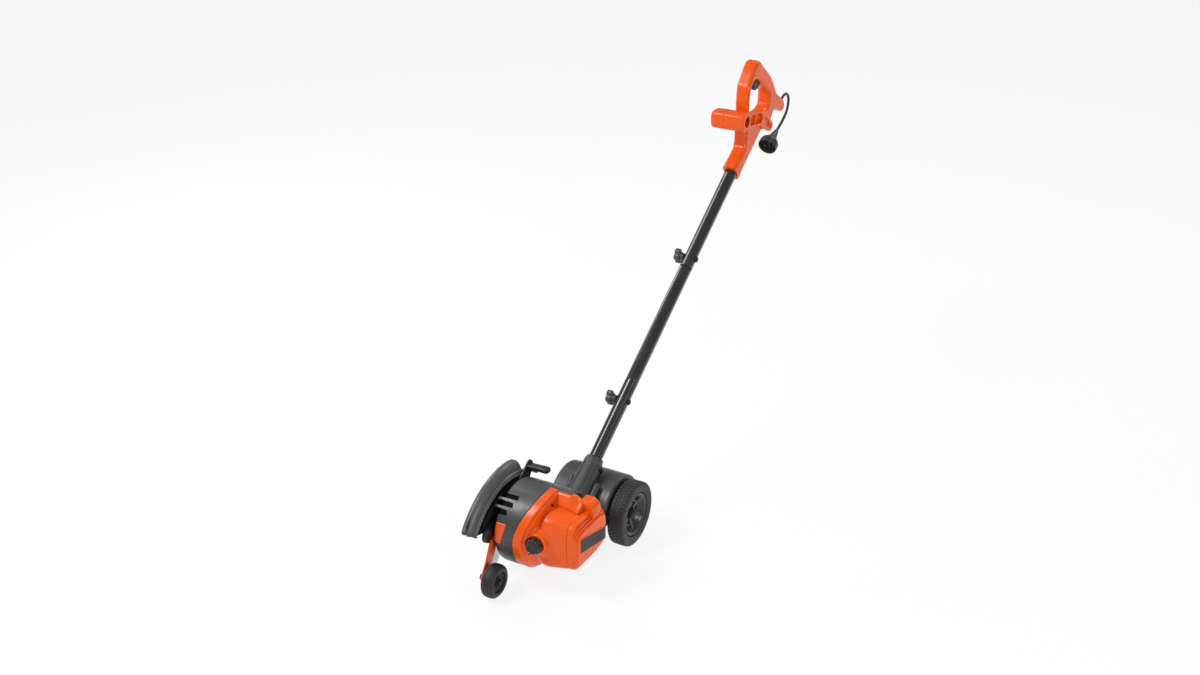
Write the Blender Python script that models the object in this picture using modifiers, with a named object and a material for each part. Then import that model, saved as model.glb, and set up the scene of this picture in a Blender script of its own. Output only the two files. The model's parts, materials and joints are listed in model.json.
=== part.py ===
"""Electric lawn edger: motor head with blade, hood and depth lever, wheeled deck, jointed pole and D-handle.

Metres, +Z up. The edger travels towards -Y and its blade is on the -X side. Lengths are given in the axle
frame, whose origin is on the ground under the middle of the rear axle; one empty shifts it all so that the
origin is the bottom centre of the whole edger's box.
"""
import math

import bmesh
import bpy
import numpy as np
from mathutils import Matrix, Vector

SEAT = 0.0003          # gap between pieces that rest on each other
RUN = 0.0002           # radial gap of a running shaft
SIDES = 20             # sides of an ordinary round piece
RING_POINTS = 32       # points round a housing section

# Rear wheels and axle
WHEEL_R = 0.070
WHEEL_W = 0.034
TRACK = 0.1408         # middle of one rear wheel to the middle of the other
TYRE_BORE = 0.048
LUGS = 20
LUG_DEPTH = 0.0022
AXLE_R = 0.005
AXLE_LENGTH = 0.166
SPOKES = 6

# Front wheel and its bracket
FRONT_R = 0.0353
FRONT_W = 0.028
FRONT_X, FRONT_Y = -0.072, -0.303
FRONT_BOLT_R = 0.004
BRACKET_T = 0.0035

# Blade drive
SPINDLE = (-0.204, 0.103)      # output shaft, Y and Z
MOTOR = (-0.178, 0.1199)       # armature, Y and Z
SPINDLE_R = 0.007
BLADE_R = 0.095
BLADE_W = 0.052
BLADE_T = 0.0024
BLADE_X = -0.1180
GEAR_TEETH, PINION_TEETH = 40, 10
GEAR_W = 0.010
GEAR_X = -0.076
SHAFT_R = 0.005
CORE_R, CORE_X0, CORE_X1 = 0.0240, -0.018, 0.026
STATOR_R, STATOR_BORE = 0.0430, 0.0250
FAN_R = 0.041

# Housings: the drum of the gear housing, then the motor barrel
DRUM = (-0.187, 0.113)
DRUM_R = 0.087
DRUM_X = -0.093                # left end of the drum
NOSE_R = 0.0295
NOSE_X = -0.1052
WALL = 0.003
SPLIT_X = -0.047               # where the dark housing meets the orange cover
SPLIT_RISE = 0.030             # how far the split sweeps back over the top
BARREL = (-0.186, 0.113)
BARREL_HALF = 0.0602
BARREL_END = (-0.180, 0.113)     # the barrel swells towards the rear as it nears its end
END_WIDE = 1.105
END_HALF = 0.0542
SEAM_X = 0.058                 # cover to end cap
END_X = 0.082
VENT_ANGLES = (118.5, 130.0, 141.5)
VENT_ENDS = (-0.060, -0.067, -0.074)
VENT_W = 0.0090
KNOB_X, KNOB_Z = -0.0013, 0.1187
KNOB_R = 0.0175
KNOB_FACE = -0.2585            # the boss that the clamp knob sits on

# Blade hood: two arcs, one at its free rim and one at its inner edge
RIM_X, RIM_CENTRE, RIM_R = -0.132, (-0.1766, 0.0345), 0.1815
EDGE_X, EDGE_CENTRE, EDGE_R = -0.1035, (-0.190, 0.052), 0.1460
RIM_SPAN = (80.0, 143.0)
EDGE_SPAN = (66.0, 146.0)
HOOD_T = 0.0024
HOOD_CROWN = 0.006

# Depth lever
LEVER_X, LEVER_T = -0.102, 0.004
LEVER_TIP = (-0.1200, 0.1975)
LEVER_FRONT = (-0.2815, 0.1215)
LEVER_GRIP = 0.049
GRIP_HALF = (0.0125, 0.0060)
GRIP_TILT = -15.0
LOBE_R, LOBE_RIGHT = 0.0150, -0.0938
BRACKET_TOP, BRACKET_BEND = (-0.2650, 0.1000), (-0.2840, 0.0620)

# Rear deck
DECK_HALF = 0.050
DECK_WALL = 0.003
FENDER_R = WHEEL_R + 0.0035     # the deck's round back, about the axle
FENDER_LEFT = -0.0835          # it reaches over the left wheel
FENDER_T = 0.0020

# Pole
POLE_X = -0.0137
POLE_Z = 0.1764                # height of the pole's centre line over the axle
POLE_ANGLE = 34.3
TUBE_R = 0.0143
TUBE_WALL = 0.0013
NECK_R = 0.0127                # the middle tube's drawn-in ends
LOWER_FROM, LOWER_TO = -0.062, 0.192
UPPER_FROM, UPPER_TO = 0.494, 0.850
NECK_IN = 0.075
LOWER_BOLT, UPPER_BOLT = 0.144, 0.521
BOLT_R = 0.003
WING_R = 0.017
SOCKET_R = 0.0185
SOCKET_FROM, SOCKET_FOOT_R = -0.120, 0.0280

# Handle
HANDLE_HALF = 0.0165
HANDLE_WALL = 0.0028
HANDLE_ROUND = 0.0105
HANDLE_FROM = 0.764            # along the pole
AUX_Y, AUX_Z = 0.6480, 0.7270
AUX_R = 0.0200
AUX_LEFT, AUX_RIGHT = -0.0700, 0.0140
AUX_BOLT = (0.7900, 0.6790)
TRIGGER_PIVOT = (0.7040, 0.8195)
TRIGGER_OUTLINE = [
    (0.6985, 0.8225), (0.7045, 0.8255), (0.7240, 0.8235), (0.7450, 0.8160), (0.7600, 0.8080), (0.7660, 0.8000),
    (0.7655, 0.7900), (0.7600, 0.7815), (0.7510, 0.7755), (0.7400, 0.7745), (0.7315, 0.7800), (0.7265, 0.7905),
    (0.7215, 0.8010), (0.7140, 0.8085), (0.7050, 0.8135), (0.6985, 0.8165)]
SPRING_FOOT, SPRING_HEAD = (0.7335, 0.8215), (0.7370, 0.8385)
SWITCH_AT = (0.7965, 0.7880)

# Cord and plug: the strain relief's inner end, and the cord's route behind it
CORD_D = 0.0064
GLAND_FROM, GLAND_RISE, GLAND_R, GLAND_LENGTH = (0.8900, 0.6955), 30.0, 0.0055, 0.0215
CORD_ROUTE = [(0.9310, 0.7145), (0.9435, 0.7115), (0.9530, 0.7025), (0.9560, 0.6890), (0.9500, 0.6715),
              (0.9345, 0.6565), (0.9110, 0.6430), (0.8900, 0.6338)]
PLUG_R, PLUG_LENGTH, PLUG_RECESS = 0.0230, 0.058, 0.016

X_MID = (RIM_X + TRACK / 2 + WHEEL_W / 2) / 2
Y_FRONT = FRONT_Y - FRONT_R
Y_REAR = 0.9100
Y_MID = (Y_FRONT + Y_REAR) / 2

BODIES = {
    "body": (0.0, 0.0, 0.0),
    "left_wheel": (-TRACK / 2, 0.0, WHEEL_R),
    "right_wheel": (TRACK / 2, 0.0, WHEEL_R),
    "depth_arm": (LEVER_X, *SPINDLE),
    "front_wheel": (FRONT_X, FRONT_Y, FRONT_R),
    "spindle": (BLADE_X, *SPINDLE),
    "armature": (0.0, *MOTOR),
    "clamp_knob": (KNOB_X, KNOB_FACE, KNOB_Z),
    "lower_knob": (0.0, 0.0, 0.0),
    "upper_knob": (0.0, 0.0, 0.0),
    "trigger": (POLE_X, *TRIGGER_PIVOT),
}

COLOURS = {
    "orange": ((0.83, 0.115, 0.013), 0.32, 0.0),
    "dark": ((0.060, 0.062, 0.060), 0.42, 0.0),
    "hood": ((0.105, 0.108, 0.105), 0.38, 0.0),
    "black": ((0.016, 0.016, 0.017), 0.45, 0.0),
    "tyre": ((0.022, 0.021, 0.021), 0.62, 0.0),
    "orange_steel": ((0.80, 0.12, 0.02), 0.35, 0.2),
    "tube": ((0.020, 0.021, 0.022), 0.22, 0.3),
    "steel": ((0.55, 0.56, 0.58), 0.30, 1.0),
    "copper": ((0.72, 0.33, 0.16), 0.35, 1.0),
    "brass": ((0.78, 0.57, 0.22), 0.30, 1.0),
}


def clear_scene():
    for obj in list(bpy.data.objects):
        bpy.data.objects.remove(obj, do_unlink=True)


def collection(name):
    made = bpy.data.collections.new(name)
    bpy.context.scene.collection.children.link(made)
    return made


def finish(name):
    rgb, rough, metal = COLOURS[name]
    made = bpy.data.materials.get(name)
    if made is None:
        made = bpy.data.materials.new(name)
        made.use_nodes = True
        shader = made.node_tree.nodes["Principled BSDF"]
        shader.inputs["Base Color"].default_value = (*rgb, 1.0)
        shader.inputs["Roughness"].default_value = rough
        shader.inputs["Metallic"].default_value = metal
    return made


def along_pole(distance, off=0.0, x=POLE_X):
    """A point this far up the pole and this far off its centre line, towards the front and up."""
    a = math.radians(POLE_ANGLE)
    y = distance * math.cos(a) - off * math.sin(a)
    z = POLE_Z + distance * math.sin(a) + off * math.cos(a)
    return Vector((x, y, z))


POLE_AXIS = (0.0, math.cos(math.radians(POLE_ANGLE)), math.sin(math.radians(POLE_ANGLE)))
BODIES["lower_knob"] = tuple(along_pole(LOWER_BOLT))
BODIES["upper_knob"] = tuple(along_pole(UPPER_BOLT))


def link_to(obj, group):
    for old in list(obj.users_collection):
        old.objects.unlink(obj)
    group.objects.link(obj)


def piece(obj, body, look):
    """Hand an object to the body that it moves with, in its own finish."""
    link_to(obj, PARTS)
    obj.data.materials.clear()
    obj.data.materials.append(finish(look))
    obj.parent = FRAMES[body]
    obj.location = Vector(obj.location) - Vector(BODIES[body])
    return obj


def tool(obj):
    """Make an object a cutter: hidden, drawn as wires, in the frame of the body."""
    link_to(obj, TOOLS)
    obj.hide_render = True
    obj.display_type = "WIRE"
    obj.parent = FRAMES["body"]
    return obj


def combine(obj, other, operation):
    step = obj.modifiers.new(operation.lower(), "BOOLEAN")
    step.operation = operation
    step.solver = "EXACT"
    step.object = tool(other)
    return obj


def cut(obj, *others):
    for other in others:
        combine(obj, other, "DIFFERENCE")
    return obj


def join(obj, *others):
    for other in others:
        combine(obj, other, "UNION")
    return obj


def mesh_object(name, mesh):
    obj = bpy.data.objects.new(name, mesh)
    bpy.context.scene.collection.objects.link(obj)
    return obj


def turn_to(obj, axis):
    obj.rotation_euler = Vector((0, 0, 1)).rotation_difference(Vector(axis)).to_euler()
    return obj


def turned(name, profile, at, axis=(1, 0, 0), steps=SIDES, loop=False):
    """A turned shape: (radius, height) points down the outer side, screwed about an axis through at."""
    mesh = bpy.data.meshes.new(name)
    count = len(profile)
    edges = [(i, i + 1) for i in range(count - 1)] + ([(count - 1, 0)] if loop else [])
    mesh.from_pydata([(r, 0.0, h) for r, h in profile], edges, [])
    obj = mesh_object(name, mesh)
    screw = obj.modifiers.new("turn", "SCREW")
    screw.steps = screw.render_steps = steps
    screw.use_merge_vertices = True
    screw.merge_threshold = 0.00001
    screw.use_smooth_shade = True
    obj.location = at
    return turn_to(obj, axis)


def rod(name, start, end, radius, steps=SIDES, bore=0.0):
    """A round bar, or a bush where it has a bore, from one point to another."""
    start, end = Vector(start), Vector(end)
    length = (end - start).length
    if bore:
        profile = [(radius, length), (radius, 0.0), (bore, 0.0), (bore, length)]
    else:
        profile = [(0.0, length), (radius, length), (radius, 0.0), (0.0, 0.0)]
    return turned(name, profile, start, end - start, steps, loop=bool(bore))


def as_mesh(curve):
    """The same shape as a mesh, its caps welded to its sides."""
    bpy.context.view_layer.update()
    shape = curve.evaluated_get(bpy.context.evaluated_depsgraph_get())
    mesh = bpy.data.meshes.new_from_object(shape)
    work = bmesh.new()
    work.from_mesh(mesh)
    bmesh.ops.remove_doubles(work, verts=work.verts, dist=0.000005)
    work.to_mesh(mesh)
    work.free()
    name, matrix = curve.name, curve.matrix_world.copy()
    bpy.data.objects.remove(curve, do_unlink=True)
    obj = mesh_object(name, mesh)
    obj.matrix_world = matrix
    return obj


SIDE_PLANE = Matrix(((0, 0, 1), (1, 0, 0), (0, 1, 0)))
FRONT_PLANE = Matrix(((1, 0, 0), (0, 0, -1), (0, 1, 0)))


def prism(name, outlines, x0, x1, bevel=0.0, resolution=1, plane=SIDE_PLANE):
    """Flat outlines in (Y, Z), later ones holes in the first, made as thick as x0 to x1."""
    curve = bpy.data.curves.new(name, "CURVE")
    curve.dimensions = "2D"
    curve.fill_mode = "BOTH"
    curve.extrude = abs(x1 - x0) / 2 - bevel
    curve.bevel_depth = bevel
    curve.bevel_resolution = resolution
    curve.offset = -bevel
    for outline in outlines:
        spline = curve.splines.new("POLY")
        spline.points.add(len(outline) - 1)
        spline.use_cyclic_u = True
        for point, (y, z) in zip(spline.points, outline):
            point.co = (y, z, 0.0, 1.0)
    obj = bpy.data.objects.new(name, curve)
    bpy.context.scene.collection.objects.link(obj)
    obj.rotation_euler = plane.to_euler()
    obj.location = plane @ Vector((0, 0, (x0 + x1) / 2))
    return as_mesh(obj)


def circle(centre, radius, count=SIDES, start=0.0, span=360.0):
    whole = span == 360.0
    step = span / (count if whole else count - 1)
    turns = [math.radians(start + i * step) for i in range(count)]
    return [(centre[0] + radius * math.cos(t), centre[1] + radius * math.sin(t)) for t in turns]


def strap(first, first_r, second, second_r, count=9):
    """The outline of a flat link with round ends: an arc about each centre, joined by tangents."""
    dy, dz = second[0] - first[0], second[1] - first[1]
    heading = math.degrees(math.atan2(dz, dy))
    lean = math.degrees(math.asin((first_r - second_r) / math.hypot(dy, dz)))
    near = circle(first, first_r, count, heading + 90 - lean, 180 + 2 * lean)
    far = circle(second, second_r, count, heading - 90 + lean, 180 - 2 * lean)
    return near + far


def box(name, low, high, turn=0.0, bevel=0.0):
    """A block between two corners, turned about X through its middle."""
    low, high = Vector(low), Vector(high)
    mesh = bpy.data.meshes.new(name)
    work = bmesh.new()
    bmesh.ops.create_cube(work, size=1.0)
    bmesh.ops.scale(work, vec=high - low, verts=work.verts)
    work.to_mesh(mesh)
    work.free()
    obj = mesh_object(name, mesh)
    obj.location = (low + high) / 2
    obj.rotation_euler = (math.radians(turn), 0.0, 0.0)
    if bevel:
        edge = obj.modifiers.new("edges", "BEVEL")
        edge.width = bevel
        edge.segments = 1
    return obj


def section(x, centre, half, power=2.0, rise=0.0, wide=1.0, count=RING_POINTS):
    """A housing section: a superellipse, round at power 2 and squarer above, whose top leans back by rise."""
    t = np.radians(np.arange(count) * 360.0 / count)
    reach = half / (np.abs(np.cos(t)) ** power + np.abs(np.sin(t)) ** power) ** (1 / power)
    lean = rise * np.maximum(np.sin(t), 0.0) ** 1.6
    return np.stack([x + lean, centre[0] + wide * reach * np.cos(t), centre[1] + reach * np.sin(t)], axis=1)


def loft(name, rings, closed):
    """A skin through sections of equal point counts, closed on itself or capped at both ends."""
    count = len(rings[0])
    points = np.concatenate(rings)
    faces = []
    for i in range(len(rings) if closed else len(rings) - 1):
        a, b = i * count, (i + 1) % len(rings) * count
        for j in range(count):
            k = (j + 1) % count
            faces.append((a + j, a + k, b + k, b + j))
    if not closed:
        last = (len(rings) - 1) * count
        faces.append(tuple(reversed(range(count))))
        faces.append(tuple(range(last, last + count)))
    mesh = bpy.data.meshes.new(name)
    mesh.from_pydata(points.tolist(), [], faces)
    work = bmesh.new()
    work.from_mesh(mesh)
    bmesh.ops.recalc_face_normals(work, faces=work.faces)
    bmesh.ops.triangulate(work, faces=work.faces)
    work.to_mesh(mesh)
    work.free()
    mesh.shade_smooth()
    mesh.set_sharp_from_angle(angle=math.radians(35))
    return mesh_object(name, mesh)


def shell_rings(outer, wall):
    """The sections of a tube-like shell: the outer ones, then the same ones drawn in by the wall, backwards."""
    rings = [section(*ring) for ring in outer]
    last = len(outer) - 1
    for i in range(last, -1, -1):
        x, centre, half, power, rise, wide = outer[i]
        step = 0.0 if i in (0, last) else wall / 2
        rings.append(section(x - step, centre, half - wall, power, rise, wide))
    return rings


def tyre(name, side):
    """A lugged tyre: each lug is two points at full radius and two at the groove's."""
    full, groove = WHEEL_R, WHEEL_R - LUG_DEPTH
    t = np.radians(np.arange(LUGS * 4) * 360.0 / (LUGS * 4))
    lug = np.tile([1.0, 1.0, 0.0, 0.0], LUGS)
    half = WHEEL_W / 2
    middle = side * TRACK / 2
    stations = [(-half + 0.003, TYRE_BORE, 0), (-half, full - 0.009, 0), (-half + 0.005, full - 0.001, 1),
                (half - 0.005, full - 0.001, 1), (half, full - 0.009, 0), (half - 0.003, TYRE_BORE, 0)]
    rings = []
    for x, radius, lugged in stations:
        reach = radius + lugged * (lug * (full - radius) - (1 - lug) * (radius - groove))
        rings.append(np.stack([middle + x + 0 * t, reach * np.cos(t), WHEEL_R + reach * np.sin(t)], axis=1))
    return loft(name, rings, closed=True)


def rear_hub(name, side):
    """Rim, dished web and boss in one turned shape, with spokes across the web's outer side."""
    rim = TYRE_BORE - SEAT
    edge = WHEEL_W / 2 - 0.0045
    boss, bore = 0.012, AXLE_R + RUN
    profile = [(0.0, 0.009), (boss - 0.001, 0.009), (boss + 0.001, 0.0), (rim - 0.006, 0.0),
               (rim - 0.0035, edge), (rim, edge), (rim, -edge), (rim - 0.003, -edge), (rim - 0.004, -0.003),
               (boss + 0.001, -0.003), (boss, -edge - 0.003), (0.0, -edge - 0.003)]
    at = (side * TRACK / 2, 0.0, WHEEL_R)
    hub = turned(name, profile, at, (side, 0, 0), SIDES)
    star = []
    for i in range(SPOKES):
        t = math.radians(i * 360 / SPOKES + 30)
        out, across = Vector((math.cos(t), math.sin(t))), Vector((-math.sin(t), math.cos(t)))
        valley = t + math.pi / SPOKES
        for reach, shift in ((rim - 0.0035, -0.0014), (rim - 0.0035, 0.0014)):
            star.append(tuple(out * reach + across * shift + Vector((0.0, WHEEL_R))))
        star.append((0.0095 * math.cos(valley), WHEEL_R + 0.0095 * math.sin(valley)))
    middle = side * TRACK / 2
    ribs = prism(name + "_spokes", [star], middle - side * 0.001, middle + side * 0.0065)
    bore_cutter = rod(name + "_bore", (middle - 0.03, 0, WHEEL_R), (middle + 0.03, 0, WHEEL_R), bore)
    return cut(join(hub, ribs), bore_cutter)


def rear_wheels():
    for word, side in (("left", -1), ("right", 1)):
        body = word + "_wheel"
        piece(tyre(word + "_tyre", side), body, "tyre")
        piece(rear_hub(word + "_hub", side), body, "black")
        face = side * (TRACK / 2 + 0.009 + SEAT)
        cap = [(0.0, 0.0042), (0.004, 0.0040), (0.0075, 0.0025), (0.009, 0.0),
               (AXLE_R + RUN, 0.0), (AXLE_R + RUN, 0.0028), (0.0, 0.0028)]
        piece(turned(word + "_axle_cap", cap, (face, 0.0, WHEEL_R), (side, 0, 0), 24), "body", "black")
    half = AXLE_LENGTH / 2 - 0.001
    axle = rod("rear_axle", (-half, 0, WHEEL_R), (half, 0, WHEEL_R), AXLE_R)
    piece(axle, "body", "steel")


def front_wheel():
    half, bore = FRONT_W / 2, FRONT_BOLT_R + RUN
    profile = [(FRONT_R - 0.004, half), (FRONT_R, half - 0.004), (FRONT_R, -half + 0.004),
               (FRONT_R - 0.004, -half), (FRONT_R - 0.011, -half), (FRONT_R - 0.013, -half + 0.008),
               (0.011, -half + 0.008), (0.009, -half), (bore, -half), (bore, half), (0.009, half),
               (0.011, half - 0.008), (FRONT_R - 0.013, half - 0.008), (FRONT_R - 0.011, half)]
    wheel = turned("front_wheel", profile, (FRONT_X, FRONT_Y, FRONT_R), (1, 0, 0), 24, loop=True)
    piece(wheel, "front_wheel", "tyre")


def depth_arm():
    """Depth lever with its thumb grip, and the bracket and bolt that carry the front wheel."""
    right = LEVER_X + LEVER_T
    lever = prism("depth_lever", [strap(SPINDLE, 0.042, LEVER_TIP, 0.011)], LEVER_X, right)
    front = prism("lever_front", [strap(SPINDLE, 0.0415, LEVER_FRONT, 0.016)],
                  LEVER_X + 0.0001, right - 0.0001)
    tip = Vector((LEVER_X, *LEVER_TIP))
    half = Vector((0.0, *GRIP_HALF))
    grip = box("lever_grip", tip - half + Vector((0.0005, 0, 0)), tip + half + Vector((LEVER_GRIP, 0, 0)),
               GRIP_TILT, 0.0030)
    out = Vector((0.0, -math.sin(math.radians(GRIP_TILT)), math.cos(math.radians(GRIP_TILT))))
    ribs = []
    for i in range(3):
        middle = tip + out * (GRIP_HALF[1] + 0.0002) + Vector((LEVER_GRIP - 0.008 - i * 0.007, 0, 0))
        size = Vector((0.0012, 0.0090, 0.0012))
        ribs.append(box("lever_rib", middle - size, middle + size, GRIP_TILT))
    nose = rod("lever_bore", (LEVER_X - 0.01, *SPINDLE), (right + 0.01, *SPINDLE), NOSE_R + SEAT, RING_POINTS)
    lobe = rod("lever_lobe", (LEVER_X + 0.0003, *LEVER_FRONT), (LOBE_RIGHT, *LEVER_FRONT), LOBE_R)
    piece(cut(join(lever, front, lobe, grip, *ribs), nose), "depth_arm", "black")

    x0 = right + SEAT
    bar = prism("wheel_bracket", [strap(BRACKET_TOP, 0.013, BRACKET_BEND, 0.012)], x0, x0 + BRACKET_T)
    join(bar, prism("bracket_foot", [strap(BRACKET_BEND, 0.0118, (FRONT_Y, FRONT_R), 0.011, 10)],
                    x0 + 0.0001, x0 + BRACKET_T - 0.0001))
    hole = rod("bracket_hole", (x0 - 0.01, FRONT_Y, FRONT_R), (x0 + 0.02, FRONT_Y, FRONT_R),
               FRONT_BOLT_R + SEAT)
    lobe_way = rod("bracket_lobe_way", (x0 - 0.01, *LEVER_FRONT), (x0 + 0.02, *LEVER_FRONT), LOBE_R + SEAT, 24)
    piece(cut(bar, lobe_way, hole), "depth_arm", "orange_steel")

    inner = FRONT_X - FRONT_W / 2 - 0.0005
    outer = FRONT_X + FRONT_W / 2
    span = outer + 0.004 - (x0 - 0.005)
    start = x0 - 0.005
    shaft = [(0.0, span), (0.0062, span), (0.0075, span - 0.0012), (0.0075, outer + 0.0006 - start),
             (FRONT_BOLT_R, outer + 0.0006 - start), (FRONT_BOLT_R, inner - start), (0.007, inner - start),
             (0.007, x0 + BRACKET_T + SEAT - start), (FRONT_BOLT_R, x0 + BRACKET_T + SEAT - start),
             (FRONT_BOLT_R, 0.0), (0.0, 0.0)]
    piece(turned("front_wheel_bolt", shaft, (start, FRONT_Y, FRONT_R), (1, 0, 0), 24), "depth_arm", "steel")
    nut = prism("front_wheel_nut", [circle((FRONT_Y, FRONT_R), 0.0075, 6),
                                    circle((FRONT_Y, FRONT_R), FRONT_BOLT_R + SEAT, 24)],
                x0 - 0.0048, x0 - SEAT)
    piece(nut, "depth_arm", "steel")


def gear_outline(centre, teeth, module, turn):
    """A spur gear's outline: four points a tooth, from root to tip along straight flanks."""
    pitch = teeth * module / 2
    root, tip = pitch - 1.15 * module, pitch + 0.80 * module
    points = []
    for i in range(teeth):
        for share, reach in ((-0.29, root), (-0.10, tip), (0.10, tip), (0.29, root)):
            t = math.radians(turn) + (i + share) * 2 * math.pi / teeth
            points.append((centre[0] + reach * math.cos(t), centre[1] + reach * math.sin(t)))
    return points


def gear_drive():
    """Driven gear on the spindle, and the armature's shaft with the pinion cut on its end."""
    apart = math.hypot(MOTOR[0] - SPINDLE[0], MOTOR[1] - SPINDLE[1])
    module = 2 * apart / (GEAR_TEETH + PINION_TEETH)
    heading = math.degrees(math.atan2(MOTOR[1] - SPINDLE[1], MOTOR[0] - SPINDLE[0]))
    gear = prism("drive_gear", [gear_outline(SPINDLE, GEAR_TEETH, module, heading),
                                circle(SPINDLE, SPINDLE_R + SEAT)], GEAR_X, GEAR_X + GEAR_W)
    piece(gear, "spindle", "steel")
    facing = heading + 180 + 180 / PINION_TEETH
    pinion = prism("pinion", [gear_outline(MOTOR, PINION_TEETH, module, facing)],
                   GEAR_X - 0.001, GEAR_X + GEAR_W + 0.001)
    at = (GEAR_X - 0.003, *MOTOR)
    span = 0.0765 - at[0]
    neck = GEAR_X + GEAR_W - at[0]
    profile = [(0.0, span), (SHAFT_R - 0.0004, span), (SHAFT_R, span - 0.0004), (SHAFT_R, neck),
               (0.0040, neck), (0.0040, 0.0004), (0.0036, 0.0), (0.0, 0.0)]
    shaft = turned("armature_shaft", profile, at, (1, 0, 0), 24)
    piece(join(shaft, pinion), "armature", "steel")


def blade_set():
    """Blade between its two flanges, nut, and the output spindle with its bearings."""
    left = BLADE_X - BLADE_T / 2
    right = BLADE_X + BLADE_T / 2
    half, flat = BLADE_R, BLADE_W / 2
    nib = 0.012
    outline = [(-half, -flat + nib), (-half + nib, -flat), (half - 0.004, -flat + 0.004), (half, -flat + nib),
               (half, flat - nib), (half - nib, flat), (-half + 0.004, flat - 0.004), (-half, flat - nib)]
    turn = math.radians(62)
    placed = [(SPINDLE[0] + y * math.cos(turn) - z * math.sin(turn),
               SPINDLE[1] + y * math.sin(turn) + z * math.cos(turn)) for y, z in outline]
    disc = circle(SPINDLE, BLADE_R, 40)
    blade = prism("blade", [placed], left, right)
    rounder = prism("blade_circle", [disc], left - 0.002, right + 0.002)
    combine(blade, rounder, "INTERSECT")
    cut(blade, rod("blade_bore", (left - 0.01, *SPINDLE), (right + 0.01, *SPINDLE), 0.005 + SEAT))
    piece(blade, "spindle", "steel")

    bore = 0.005 + SEAT
    for name, x, axis in (("inner_flange", right + SEAT, (1, 0, 0)), ("outer_flange", left - SEAT, (-1, 0, 0))):
        profile = [(0.010, 0.0052), (0.0105, 0.0022), (0.021, 0.0020), (0.022, 0.0), (bore, 0.0), (bore, 0.0052)]
        if name == "outer_flange":
            profile = [(0.019, 0.0028), (0.020, 0.0), (bore, 0.0), (bore, 0.0028)]
        piece(turned(name, profile, (x, *SPINDLE), axis, loop=True), "spindle", "steel")
    nut_x = left - SEAT - 0.0028 - SEAT
    nut = prism("blade_nut", [circle(SPINDLE, 0.0092, 6), circle(SPINDLE, bore, 24)], nut_x - 0.0075, nut_x)
    piece(nut, "spindle", "steel")

    tip = nut_x - 0.0085
    shoulder = right + SEAT + 0.0052 + SEAT
    end = -0.0555
    profile = [(0.0, end - tip), (SPINDLE_R - 0.0005, end - tip), (SPINDLE_R, end - tip - 0.0005),
               (SPINDLE_R, shoulder - tip), (0.005, shoulder - tip), (0.005, 0.0008), (0.0042, 0.0), (0.0, 0.0)]
    piece(turned("output_spindle", profile, (tip, *SPINDLE), (1, 0, 0), 24), "spindle", "steel")


def bearing(name, x, centre, outer, bore, width, body="body"):
    piece(rod(name, (x, *centre), (x + width, *centre), outer, SIDES, bore + RUN), body, "steel")


def bearings():
    bearing("spindle_bearing_outer", -0.1046, SPINDLE, 0.016, SPINDLE_R, 0.010)
    bearing("spindle_bearing_inner", -0.0635, SPINDLE, 0.014, SPINDLE_R, 0.009)
    bearing("motor_bearing_front", -0.0615, MOTOR, 0.0085, SHAFT_R, 0.007)
    bearing("motor_bearing_rear", 0.068, MOTOR, 0.011, SHAFT_R, 0.007)


def gearcase_plate():
    """The bulkhead behind the gears: a disc with a seat for each inner bearing."""
    x0, x1 = -0.0590, -0.0550
    plate = prism("gearcase_plate", [circle(DRUM, DRUM_R - WALL - SEAT, RING_POINTS)], x0, x1)
    seat = rod("spindle_seat", (-0.0640, *SPINDLE), (x1 + 0.0030, *SPINDLE), 0.0172)
    motor_seat = rod("motor_seat", (-0.0620, *MOTOR), (x1 + 0.0032, *MOTOR), 0.0115)
    cuts = [rod("spindle_seat_bore", (-0.08, *SPINDLE), (-0.0635 + 0.0093, *SPINDLE), 0.014 + SEAT),
            rod("motor_seat_bore", (-0.08, *MOTOR), (-0.0615 + 0.0073, *MOTOR), 0.0085 + SEAT),
            rod("motor_shaft_way", (-0.08, *MOTOR), (0.0, *MOTOR), SHAFT_R + 0.0012)]
    piece(cut(join(plate, seat, motor_seat), *cuts), "body", "steel")


def armature():
    """Core, its two winding heads, commutator and fan, all on the shaft."""
    slots = 12
    outline = []
    for i in range(slots):
        for share, reach in ((-0.46, 1.0), (-0.23, 1.0), (0.0, 1.0), (0.23, 1.0), (0.46, 1.0),
                             (0.47, 0.90), (0.53, 0.90)):
            t = (i + share) * 2 * math.pi / slots
            outline.append((MOTOR[0] + CORE_R * reach * math.cos(t), MOTOR[1] + CORE_R * reach * math.sin(t)))
    bore = circle(MOTOR, SHAFT_R + SEAT / 2, 24)
    piece(prism("armature_core", [outline, bore], CORE_X0, CORE_X1), "armature", "steel")
    windings = [(0.0205, 0.009), (0.0215, 0.004), (0.0205, 0.0), (SHAFT_R + SEAT / 2, 0.0),
                (SHAFT_R + SEAT / 2, 0.009)]
    for name, x, axis in (("winding_front", CORE_X0 - SEAT, (-1, 0, 0)), ("winding_rear", CORE_X1 + SEAT, (1, 0, 0))):
        piece(turned(name, windings, (x, *MOTOR), axis, loop=True), "armature", "copper")
    bars = []
    for i in range(24):
        for share, reach in ((-0.40, 0.0125), (0.40, 0.0125), (0.5, 0.0119)):
            t = (i + share) * 2 * math.pi / 24
            bars.append((MOTOR[0] + reach * math.cos(t), MOTOR[1] + reach * math.sin(t)))
    x = CORE_X1 + 0.009 + 2 * SEAT
    piece(prism("commutator", [bars, bore], x, x + 0.016), "armature", "copper")
    cooling_fan()


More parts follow.
